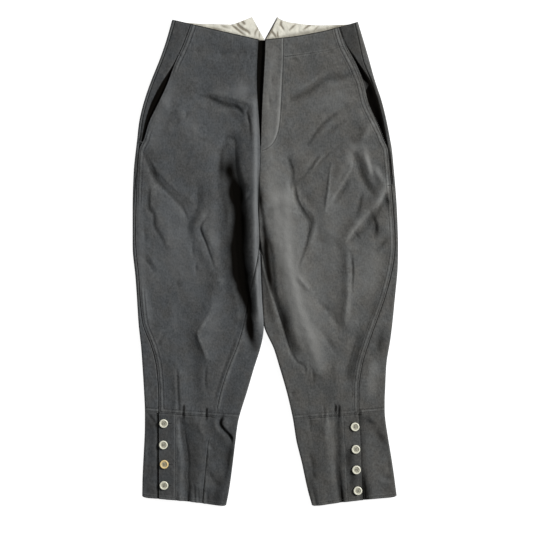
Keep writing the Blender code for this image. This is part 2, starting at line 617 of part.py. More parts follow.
def main():
    """Build the garment."""
    for old in list(bpy.data.objects):
        bpy.data.objects.remove(old)
    scene = bpy.context.scene
    garment = bpy.data.collections.new("cropped_jodhpurs")
    cutters = bpy.data.collections.new("cutters")
    scene.collection.children.link(garment)
    scene.collection.children.link(cutters)

    right = Leg(
        "right", -1.0, RIGHT_ROWS, RIGHT_MOUTH, RIGHT_FOLDS, RIGHT_BACK_EDGE, RIGHT_WAIST_DIP,
        RIGHT_BUTTONS,
    )
    left = Leg(
        "left", 1.0, LEFT_ROWS, LEFT_MOUTH, LEFT_FOLDS, LEFT_BACK_EDGE, LEFT_WAIST_DIP,
        LEFT_BUTTONS,
    )
    inside = material("drill_inside", DRILL_INSIDE, CLOTH_ROUGHNESS)
    cream = material("lining_cream", LINING_CREAM, LINING_ROUGHNESS)
    shell = material("button_shell", BUTTON_SHELL, BUTTON_ROUGHNESS)
    tan = material("button_tan", BUTTON_TAN, BUTTON_ROUGHNESS)
    mesh = button_mesh(cutters)
    for leg, colour in ((right, DRILL_RIGHT), (left, DRILL_LEFT)):
        drill = material("drill_" + leg.name, colour, CLOTH_ROUGHNESS)
        make_front(leg, drill, garment)
        make_back(leg, drill, garment)
        make_bearer(leg, drill, garment)
        make_lining(leg, cream, garment)
        third = tan if leg is right else shell
        make_buttons(leg, mesh, (shell, shell, third, shell), garment)
    make_fly(right, left, inside, garment)


main()
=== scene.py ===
"""Cropped jodhpurs laid flat, front up: the cloth, its creases and sewing, and the studio.

Right and left are the wearer's own, so the right leg is on the -X side. Each leg is a run of
flattened rings, as in the solids: a row is a line across the leg, and a column runs down it.
"""

import math

import bpy
import numpy as np
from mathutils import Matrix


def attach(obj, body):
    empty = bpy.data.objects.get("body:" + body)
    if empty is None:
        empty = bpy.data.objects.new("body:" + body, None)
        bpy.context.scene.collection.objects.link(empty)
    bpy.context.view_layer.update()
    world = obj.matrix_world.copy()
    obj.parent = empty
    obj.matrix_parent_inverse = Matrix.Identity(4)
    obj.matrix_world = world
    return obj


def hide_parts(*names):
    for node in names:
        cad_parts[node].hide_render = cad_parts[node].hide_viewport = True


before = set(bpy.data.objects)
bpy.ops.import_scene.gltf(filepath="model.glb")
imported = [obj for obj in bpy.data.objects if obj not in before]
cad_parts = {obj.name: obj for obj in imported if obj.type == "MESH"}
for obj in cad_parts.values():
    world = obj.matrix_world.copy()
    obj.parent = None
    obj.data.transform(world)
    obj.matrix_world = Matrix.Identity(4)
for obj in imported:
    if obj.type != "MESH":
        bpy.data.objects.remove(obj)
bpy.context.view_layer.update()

bl_info = {
    "name": "Cropped jodhpurs",
    "version": (1, 0, 0),
    "blender": (4, 5, 0),
    "location": "View3D > Sidebar > Jodhpurs",
    "description": "Makes a pair of cropped jodhpurs laid flat, with their sewing and a plain studio",
    "category": "Object",
}

MM = 0.001
BODY = "root"

# Cloth, in millimetres
LAYER_GAP = 0.5
FOLD_REACH = 3.2             # how far in from the outline a folded edge rounds over
SEAM_MARGIN = 2.0            # least way from that rounding to the side seam
RIDGE_REACH = 48.0           # how far the raised inner edge spreads over the panel
EDGE_CALM = 20.0             # large folds die away over this distance from a folded edge
CREASE_CALM = 6.0            # and creases over this one
LOWEST_TOP = 3.3             # the front lies on the back there
PEAK_FROM_CENTRE = 22.5
POCKET_UNDERLAP = 12.0
MOUTH_SHARE = 0.7            # most of the way to the side seam that a pocket's mouth takes
FLY_UNDERLAP = 12.0
FLY_SINK = 1.6
LINING_FROM_OUTLINE = 7.0
LINING_EDGE_INSET = 0.5
LEFT_NOTCH_INSET = 4.5       # the back's own cloth shows along this side of the notch
LINING_UNDER_FRONT = 30.0
LINING_FROM_CENTRE = 0.15
LINING_GAP = 0.3             # the lining's least height over the back's cloth
LINING_RISE = 0.9            # and its usual height over that
LINING_SWELLS = ((0.5, 11.0), (0.35, 5.0))  # height and size of its soft swells
LINING_CREASE_WIDTH = 1.25   # its creases are wider than their table says
LINING_CREASE_FULL = 0.38    # a crease this deep is fully dark, in painted shade
LINING_DARK_REACH = 2.0      # its painted shade, under the front, starts this far above the front's waist edge
LINING_DARK_FADE = 8.0
PLACKET_UNDERLAP = 20.0
STRIP_WIDTH = 30.0           # the button strip, which lies flat
STRIP_FADE = 12.0
CUFF_TOP_Y = -262.0
CUFF_FADE = 14.0

# Rows: each key row of the tables starts this many fine rows
KEY_STEP = 16
DOUBLINGS = 4                # the tables' rows are halved this many times
POCKET_END = 7 * KEY_STEP
BEARER_END = 105
FLY_END = 6 * KEY_STEP
CUFF_ROW = 18 * KEY_STEP
BACK_EDGE_FADE = 3 * KEY_STEP

# Columns across each stretch of a ring
FRONT_COLUMNS = 150
CUFF_COLUMNS = 62
SIDE_COLUMNS = 22
FOLD_COLUMNS = 9
FLOOR_COLUMNS = 26
LAP_COLUMNS = 8
BEARER_COLUMNS = 30
FLY_COLUMNS = 24

# Rows of each leg, from the waist down, in millimetres. Outer is the outline's side and
# inner is the centre front, or the leg's inner outline below the crotch. Side and front are
# the side seam and the front's outer edge, seam is the front's inner edge, back is the
# centre back. Edge and ridge are the heights of the outer and the inner edge. Lift is 0
# where the back ends at the centre back and 1 where it wraps round to the inseam.
ROW_COLUMNS = (
    "outer_x", "outer_y", "inner_x", "inner_y", "side_x", "front_x", "seam_x", "back_x",
    "edge", "ridge", "lift",
)
RIGHT_ROWS = (
    (-168.0, 436.0, -12.0, 400.0, -162.0, -134.0, -12.0, -1.6, 7.2, 8.6, 0.0),
    (-178.5, 399.0, -14.0, 366.5, -173.0, -147.0, -14.0, -2.4, 7.2, 8.8, 0.0),
    (-191.0, 363.0, -15.0, 330.5, -185.5, -163.0, -15.0, -2.9, 7.4, 9.2, 0.0),
    (-205.5, 327.0, -14.0, 296.0, -200.0, -176.0, -14.0, -3.6, 7.5, 9.5, 0.0),
    (-218.0, 291.0, -11.5, 262.0, -212.5, -192.0, -11.5, -4.2, 7.5, 10.5, 0.0),
    (-227.0, 255.0, -9.5, 228.0, -221.5, -209.0, -9.5, -4.9, 7.0, 12.0, 0.0),
    (-231.0, 222.0, -8.7, 198.0, -225.5, -219.0, -8.7, -5.4, 6.5, 13.0, 0.0),
    (-233.5, 201.0, -9.2, 179.0, -228.0, -228.0, -9.2, -5.8, 6.5, 14.0, 0.0),
    (-237.2, 165.0, -10.6, 147.0, -230.5, -230.5, -10.6, -6.4, 6.5, 15.0, 0.0),
    (-239.2, 111.0, -12.6, 96.5, -232.5, -232.5, -12.6, -7.2, 6.5, 16.0, 0.0),
    (-239.4, 57.0, -10.3, 46.0, -234.0, -234.0, -10.3, -8.2, 6.5, 16.0, 0.0),
    (-239.0, 17.0, -8.6, 10.0, -232.5, -232.5, -13.0, -8.6, 6.5, 16.0, 1.0),
    (-234.6, -24.0, -7.2, -29.5, -228.0, -228.0, -21.0, -7.2, 6.5, 15.0, 1.0),
    (-231.4, -69.0, -5.2, -73.0, -225.5, -225.5, -31.0, -5.2, 6.5, 13.5, 1.0),
    (-228.5, -114.0, -2.6, -118.0, -220.0, -220.0, -40.0, -2.6, 6.0, 11.0, 1.0),
    (-224.5, -150.0, -8.4, -154.0, -206.0, -206.0, -50.5, -8.4, 6.0, 8.5, 1.0),
    (-221.8, -186.0, -19.8, -190.0, -196.5, -196.5, -65.0, -19.8, 6.0, 7.5, 1.0),
    (-219.0, -231.0, -33.5, -236.5, -192.5, -192.5, -80.0, -33.5, 6.0, 7.0, 1.0),
    (-217.2, -271.0, -47.8, -283.0, -192.0, -192.0, -90.0, -47.8, 6.0, 7.0, 1.0),
    (-217.5, -307.0, -53.5, -321.0, -192.0, -192.0, -101.0, -53.5, 6.0, 7.5, 1.0),
    (-219.5, -348.0, -58.5, -362.5, -192.0, -192.0, -106.0, -58.5, 6.0, 6.5, 1.0),
    (-221.5, -389.5, -64.0, -404.0, -192.0, -192.0, -110.0, -64.0, 6.0, 6.0, 1.0),
    (-222.0, -425.5, -70.5, -441.7, -192.0, -192.0, -113.0, -70.5, 6.0, 6.0, 1.0),
)
LEFT_ROWS = (
    (167.0, 432.0, 0.0, 400.0, 161.0, 133.0, 0.0, -1.2, 7.2, 8.6, 0.0),
    (177.0, 399.0, -1.0, 366.5, 169.0, 145.0, -1.0, -2.0, 7.2, 8.8, 0.0),
    (187.5, 363.0, -3.0, 330.5, 177.0, 163.0, -3.0, -2.5, 7.4, 9.2, 0.0),
    (197.5, 327.0, -5.0, 296.0, 190.5, 177.0, -5.0, -3.2, 7.5, 9.5, 0.0),
    (209.5, 291.0, -6.5, 262.0, 203.0, 185.5, -6.5, -3.8, 7.5, 10.5, 0.0),
    (218.5, 255.0, -7.5, 228.0, 212.0, 200.5, -7.5, -4.5, 7.0, 12.0, 0.0),
    (225.0, 222.0, -7.9, 198.0, 218.5, 213.0, -7.9, -5.0, 6.5, 13.0, 0.0),
    (228.5, 201.0, -8.4, 179.0, 221.5, 221.5, -8.4, -5.4, 6.5, 13.5, 0.0),
    (232.0, 165.0, -9.8, 147.0, 224.5, 224.5, -9.8, -6.0, 6.5, 13.5, 0.0),
    (236.5, 111.0, -11.8, 96.5, 229.0, 229.0, -11.8, -7.4, 6.5, 13.5, 0.0),
    (239.0, 57.0, -9.8, 46.0, 233.0, 233.0, -9.8, -8.9, 6.5, 13.5, 0.0),
    (239.6, 21.0, -9.3, 10.0, 233.5, 233.5, -4.4, -9.3, 6.5, 13.0, 1.0),
    (238.4, -19.0, -7.8, -29.5, 227.5, 227.5, 4.0, -7.8, 6.5, 12.0, 1.0),
    (234.0, -64.0, -5.7, -73.0, 215.5, 215.5, 17.5, -5.7, 6.5, 11.0, 1.0),
    (229.6, -109.0, -2.0, -118.0, 199.5, 199.5, 31.5, -2.0, 6.0, 9.5, 1.0),
    (225.0, -145.0, 14.2, -154.0, 186.5, 186.5, 42.5, 14.2, 6.0, 8.5, 1.0),
    (219.0, -181.0, 25.5, -190.0, 175.5, 175.5, 53.5, 25.5, 6.0, 7.5, 1.0),
    (216.5, -226.0, 39.0, -236.5, 168.5, 168.5, 66.5, 39.0, 6.0, 7.0, 1.0),
    (215.5, -271.0, 50.0, -285.0, 168.5, 168.5, 77.0, 50.0, 6.0, 6.5, 1.0),
    (220.0, -308.5, 56.0, -323.0, 171.5, 171.5, 84.0, 56.0, 6.0, 6.5, 1.0),
    (226.6, -348.0, 65.8, -362.5, 173.0, 173.0, 89.0, 65.8, 6.0, 6.5, 1.0),
    (232.6, -388.0, 74.2, -402.0, 174.5, 174.5, 95.0, 74.2, 6.0, 6.0, 1.0),
    (237.0, -424.5, 84.0, -441.7, 176.0, 176.0, 101.0, 84.0, 6.0, 6.0, 1.0),
)

# Gap between the front's edge and the pocket bearer's face, one for each key row, in mm
RIGHT_MOUTH = (3.0, 3.0, 3.0, 6.5, 6.0, 5.0, 3.5, 3.0)
LEFT_MOUTH = (3.0, 3.0, 3.5, 6.5, 11.0, 7.0, 3.5, 3.0)

# How wide the painted shadow in each pocket's mouth shows beside the front's edge, in the same way
RIGHT_GAP = (0.0, 0.0, 1.5, 10.0, 12.5, 7.5, 4.5, 0.0)
LEFT_GAP = (0.0, 0.0, 5.0, 13.0, 20.0, 21.0, 13.0, 0.0)

# The back's waist edge, in millimetres, from the side to the notch at the centre back
RIGHT_BACK_EDGE = (
    (-168.0, 436.0), (-150.0, 432.0), (-121.0, 429.5), (-60.0, 428.0), (-51.0, 431.0),
    (-24.1, 441.7), (-1.6, 400.7),
)
LEFT_BACK_EDGE = (
    (-1.2, 400.7), (21.3, 441.7), (28.0, 436.5), (43.0, 432.0), (71.5, 428.0),
    (100.0, 426.5), (150.0, 428.0), (167.0, 432.0),
)
RIGHT_WAIST_DIP = 0.0
LEFT_WAIST_DIP = 5.0         # how far the front's waist edge bows down, in mm

# Largest folds, in millimetres, as in the solids: name, height (a trough is negative), half
# width, and the places that the fold runs through
RIGHT_FOLDS = (
    ("crotch trough", -7.0, 15.0, ((-62, 215), (-65, 165), (-49, 129), (-45, 21), (-28, -87))),
    ("hip drag", -2.6, 13.0, ((-112, 300), (-70, 288), (-50, 272))),
    ("pocket crease", -2.4, 12.0, ((-222, 204), (-180, 138), (-148, 102))),
    ("hip swell", 2.5, 30.0, ((-150, 260), (-120, 180))),
    ("thigh ridge", 3.2, 14.0, ((-112, 78), (-94, -6))),
    ("thigh side ridge", 2.6, 14.0, ((-205, 129), (-175, 35))),
    ("knee ridge", 4.2, 15.0, ((-82, -36), (-121, -128), (-107, -168))),
    ("shin ridge", 2.4, 12.0, ((-157, -204), (-154, -267))),
    ("shin trough", -2.0, 12.0, ((-130, -200), (-128, -255))),
    ("cuff valley", -2.2, 10.0, ((-150, -300), (-141, -429))),
    ("cuff ridge", 2.4, 13.0, ((-122, -290), (-120, -400))),
    ("cuff tuck", 3.0, 11.0, ((-84, -292), (-66, -325))),
)
LEFT_FOLDS = (
    ("inseam valley", -3.6, 11.0, ((8, 90), (14, 39), (24, -33), (38, -123), (50, -158))),
    ("thigh ridge", 4.5, 17.0, ((45, 129), (55, 39), (70, -33), (86, -105), (100, -195))),
    ("hip drag", -2.2, 13.0, ((50, 294), (107, 327), (145, 338))),
    ("upper drag", -2.2, 12.0, ((62, 201), (143, 273))),
    ("middle drag", -2.6, 12.0, ((57, 141), (156, 213))),
    ("hip swell", 2.4, 30.0, ((120, 240), (150, 260))),
    ("crotch drag", -2.8, 13.0, ((32, 210), (57, 138), (84, 71), (100, 40))),
    ("side ridge", 3.0, 14.0, ((109, 93), (120, 129), (152, 174))),
    ("low side ridge", 3.0, 14.0, ((143, 39), (197, 102), (212, 138))),
    ("thigh side ridge", 3.0, 14.0, ((152, 21), (156, -33), (145, -114))),
    ("knee trough", -2.2, 12.0, ((105, -69), (143, -123))),
    ("shin ridge", 2.2, 12.0, ((130, -190), (128, -260))),
    ("cuff valley", -2.4, 9.0, ((128, -262), (134, -390), (140, -429))),
    ("cuff swell", 2.2, 15.0, ((105, -300), (115, -390))),
)

# Button centres, in millimetres
RIGHT_BUTTONS = ((-183.0, -291.5), (-183.5, -330.0), (-182.0, -365.0), (-182.5, -403.0))
LEFT_BUTTONS = ((161.5, -297.5), (163.0, -338.0), (164.0, -375.0), (166.5, -412.5))

# Creases, in millimetres: name, half width on the left and on the right hand of someone who
# walks along it from its first place, and its places as x, y and height. A trough's height is
# negative. Down the leg, the left hand is on the +X side.
RIGHT_CREASES = (
    ("hip drag", 3.0, 5.5, ((-122, 299, 0), (-100, 298, -1.2), (-88, 291, -2.0), (-75, 285, -2.6),
        (-60, 281, -2.6), (-48, 279, -2.2), (-40, 271, -1.6), (-33, 260, 0))),
    ("hip drag lip", 9, 5, ((-124, 310, 0), (-85, 303, 1.0), (-50, 294, 1.4), (-28, 288, 1.1),
        (-18, 272, 0))),
    ("fly tick", 2.6, 3.2, ((-31, 275, 0), (-29, 264, -1.8), (-26, 250, -1.6), (-25, 232, -0.8),
        (-25, 208, 0))),
    ("centre welt", 5, 6, ((-18, 300, 0), (-18, 280, 1.0), (-17, 240, 1.2), (-16, 200, 1.2),
        (-16, 130, 1.2), (-17, 60, 1.2), (-16, 0, 1.0), (-12, -50, 0.9), (-8, -110, 0))),
    ("hip tick 1", 3.5, 3.5, ((-137, 273, 0), (-139, 264, -1.1), (-143, 255, 0))),
    ("hip tick 2", 4, 4, ((-153, 260, 0), (-156, 250, -1.0), (-160, 241, 0))),
    ("hip tick 3", 3.5, 3.5, ((-178, 260, 0), (-168, 267, -1.0), (-157, 274, 0))),
    ("hip swell 1", 9, 9, ((-184, 300, 0), (-179, 289, 1.1), (-170, 278, 0))),
    ("hip swell 2", 9, 9, ((-157, 279, 0), (-149, 269, 1.1), (-140, 261, 0))),
    ("hip swell 3", 9, 9, ((-130, 250, 0), (-125, 240, 1.1), (-117, 227, 0))),
    ("hip swell 4", 8, 8, ((-176, 248, 0), (-170, 240, 1.1), (-163, 229, 0))),
    ("facing pucker 1", 4, 4, ((-126, 385, 0), (-118, 380, -1.0), (-110, 377, 0))),
    ("facing pucker 2", 4, 3, ((-83, 378, 0), (-75, 375, -1.0), (-67, 373, 0))),
    ("facing pucker 3", 3, 4, ((-58, 374, 0), (-50, 372, -0.9), (-43, 371, 0))),
    ("facing pucker 4", 4, 4, ((-31, 371, 0), (-25, 370, -0.8), (-20, 368, 0))),
    ("waist swell", 12, 12, ((-100, 402, 0), (-70, 392, 0.9), (-45, 388, 0))),
    ("pocket crease", 3.4, 5, ((-222, 204, 0), (-216, 195, -1.2), (-203, 170, -2.4), (-198, 158, -3.0),
        (-190, 145, -2.0), (-178, 132, 0))),
    ("pocket crease end", 1.9, 2.4, ((-200, 160, 0), (-188, 143, -1.6), (-170, 124, -1.8),
        (-155, 108, -1.7), (-147, 100, -1.4), (-140, 86, -0.9), (-135, 73, 0))),
    ("pocket crease lip", 8, 4, ((-208, 194, 0), (-189, 164, 1.2), (-165, 138, 0.9), (-140, 112, 0))),
    ("side crease", 3, 4, ((-202, 142, 0), (-207, 125, -1.3), (-207, 97, -1.4), (-198, 86, -1.3),
        (-197, 65, -1.3), (-185, 45, -1.0), (-179, 31, 0))),
    ("side fold 1", 3, 3.5, ((-219, 12, 0), (-209, 0, -0.9), (-202, -10, -0.9), (-194, -21, 0))),
    ("side fold 2", 5, 4, ((-210, 18, 0), (-199, 2, 0.9), (-187, -16, 0))),
    ("thigh hollow", 7, 8, ((-117, 145, 0), (-118, 125, -1.7), (-119, 98, -1.8), (-128, 78, -1.8),
        (-135, 62, -1.8), (-132, 43, 0))),
    ("thigh crease", 1.7, 2.8, ((-97, 92, 0), (-104, 78, -1.2), (-113, 65, -1.6), (-112, 55, -1.7),
        (-105, 38, -1.6), (-97, 15, -1.4), (-92, 0, -1.0), (-87, -16, 0))),
    ("thigh crease lip", 6, 8, ((-116, 86, 0), (-124, 60, 0.9), (-116, 34, 1.0), (-106, 10, 0.9),
        (-98, -12, 0))),
    ("thigh inner lip", 8, 4, ((-96, 70, 0), (-99, 52, 0.8), (-91, 30, 0.8), (-84, 8, 0))),
    ("crotch valley", 8, 9, ((-66, 220, 0), (-62, 200, -2.0), (-56, 180, -4.0), (-50, 150, -5.0),
        (-46, 120, -6.0), (-43, 90, -6.5), (-42, 60, -6.5), (-41, 30, -6.5), (-39, 0, -6.0),
        (-40, -30, -5.0), (-33, -60, -3.6), (-29, -90, -2.5), (-25, -125, -1.8), (-19, -152, 0))),
    ("crotch hollow", 8, 8, ((-60, 224, 0), (-70, 206, -1.6), (-78, 185, -1.9), (-82, 160, -1.5),
        (-80, 130, -1.0), (-76, 98, 0))),
    ("crotch tick", 2.6, 2.6, ((-17, 134, 0), (-26, 120, -0.9), (-37, 102, 0))),
    ("thigh dent 1", 3, 3, ((-128, 38, 0), (-128, 22, -1.0), (-127, 6, 0))),
    ("thigh dent 2", 3, 3, ((-122, 3, 0), (-122, -10, -1.0), (-121, -23, 0))),
    ("thigh dent 3", 3, 3, ((-215, 63, 0), (-214, 50, -1.0), (-214, 36, 0))),
    ("knee dent", 4.5, 4.5, ((-160, -28, 0), (-155, -38, -1.3), (-150, -48, 0))),
    ("knee diamond", 7, 3.2, ((-86, -66, 0), (-96, -88, 1.1), (-106, -106, 1.5), (-117, -122, 1.6),
        (-118, -134, 1.5), (-112, -149, 1.4), (-106, -165, 1.1), (-101, -182, 0))),
    ("knee hollow", 4, 7, ((-127, -122, 0), (-125, -140, -0.5), (-119, -158, -0.5), (-112, -174, 0))),
    ("knee side dent", 3.5, 3.5, ((-177, -128, 0), (-185, -140, -1.1), (-193, -152, 0))),
    ("shin crease", 3, 3, ((-156, -190, 0), (-156, -204, -1.5), (-155, -230, -1.5), (-154, -250, -1.5),
        (-152, -264, -1.0))),
    ("shin dent", 3, 3, ((-103, -186, 0), (-105, -198, -1.2), (-106, -220, -1.2), (-100, -237, 0))),
    ("inseam band", 3, 4.5, ((-48, -125, 0), (-58, -155, -1.1), (-71, -190, -1.2), (-85, -232, -1.1),
        (-93, -264, 0))),
    ("cuff valley", 4.2, 4.2, ((-154, -264, -1.4), (-150, -285, -1.7), (-147, -300, -1.9),
        (-145, -315, -1.9), (-140, -340, -2.1), (-138, -365, -2.2), (-141, -385, -2.2),
        (-138, -400, -2.5), (-138, -442, -3.4))),
    ("cuff lip", 5.5, 5.5, ((-158, -264, 0.8), (-156, -300, 1.1), (-152, -335, 1.2), (-149, -352, 1.2),
        (-148, -375, 0.9), (-150, -405, 0.8), (-152, -436, 0.6))),
    ("cuff tick 1", 2.8, 2.8, ((-146, -257, 0), (-146, -268, -2.4), (-146, -278, -2.0),
        (-146, -286, 0))),
    ("cuff tick 2", 2.8, 2.8, ((-105, -263, 0), (-105, -273, -2.3), (-105, -281, -1.8),
        (-105, -289, 0))),
    ("cuff swell", 7, 6, ((-116, -275, 0), (-113, -295, 1.3), (-108, -312, 1.3), (-105, -326, 0))),
    ("cuff crease", 4, 4, ((-103, -336, 0), (-103, -350, -1.3), (-104, -375, -1.5), (-108, -395, -1.5),
        (-113, -440, -1.5))),
    ("gather 1", 2.2, 2.4, ((-126, -396, 0), (-125, -410, -1.0), (-124, -442, -1.5))),
    ("gather 2", 2.2, 2.2, ((-119, -403, 0), (-118, -414, -0.9), (-117, -442, -1.3))),
    ("gather 3", 2.2, 2.4, ((-101, -406, 0), (-102, -416, -0.9), (-102, -442, -1.1))),
    ("cuff drag 1", 4, 4, ((-102, -319, 0), (-96, -329, -1.1), (-89, -339, 0))),
    ("cuff drag 2", 4.5, 5.5, ((-102, -370, 0), (-96, -384, -1.3), (-89, -396, -1.6),
        (-80, -403, -1.3), (-73, -408, 0))),
    ("cuff tuck", 3.4, 4, ((-73, -274, 0), (-78, -284, -2.8), (-79, -292, -3.4), (-71, -304, -3.6),
        (-62, -314, -3.4), (-55, -326, -2.8), (-53, -333, -1.2))),
    ("cuff knob", 6, 5, ((-73, -276, 0), (-68, -287, 1.8), (-61, -300, 0))),
    ("cuff edge hollow", 4, 5, ((-59, -332, 0), (-64, -350, -1.3), (-69, -380, -1.3), (-73, -408, 0))),
    ("cuff side fold", 3, 3.5, ((-218, -273, 0), (-207, -278, -1.5), (-199, -286, -1.5),
        (-196, -294, -1.3), (-195, -304, 0))),
    ("cuff side dent", 6, 5, ((-218, -320, 0), (-214, -332, -1.0), (-210, -350, -1.0), (-208, -364, 0))),
)
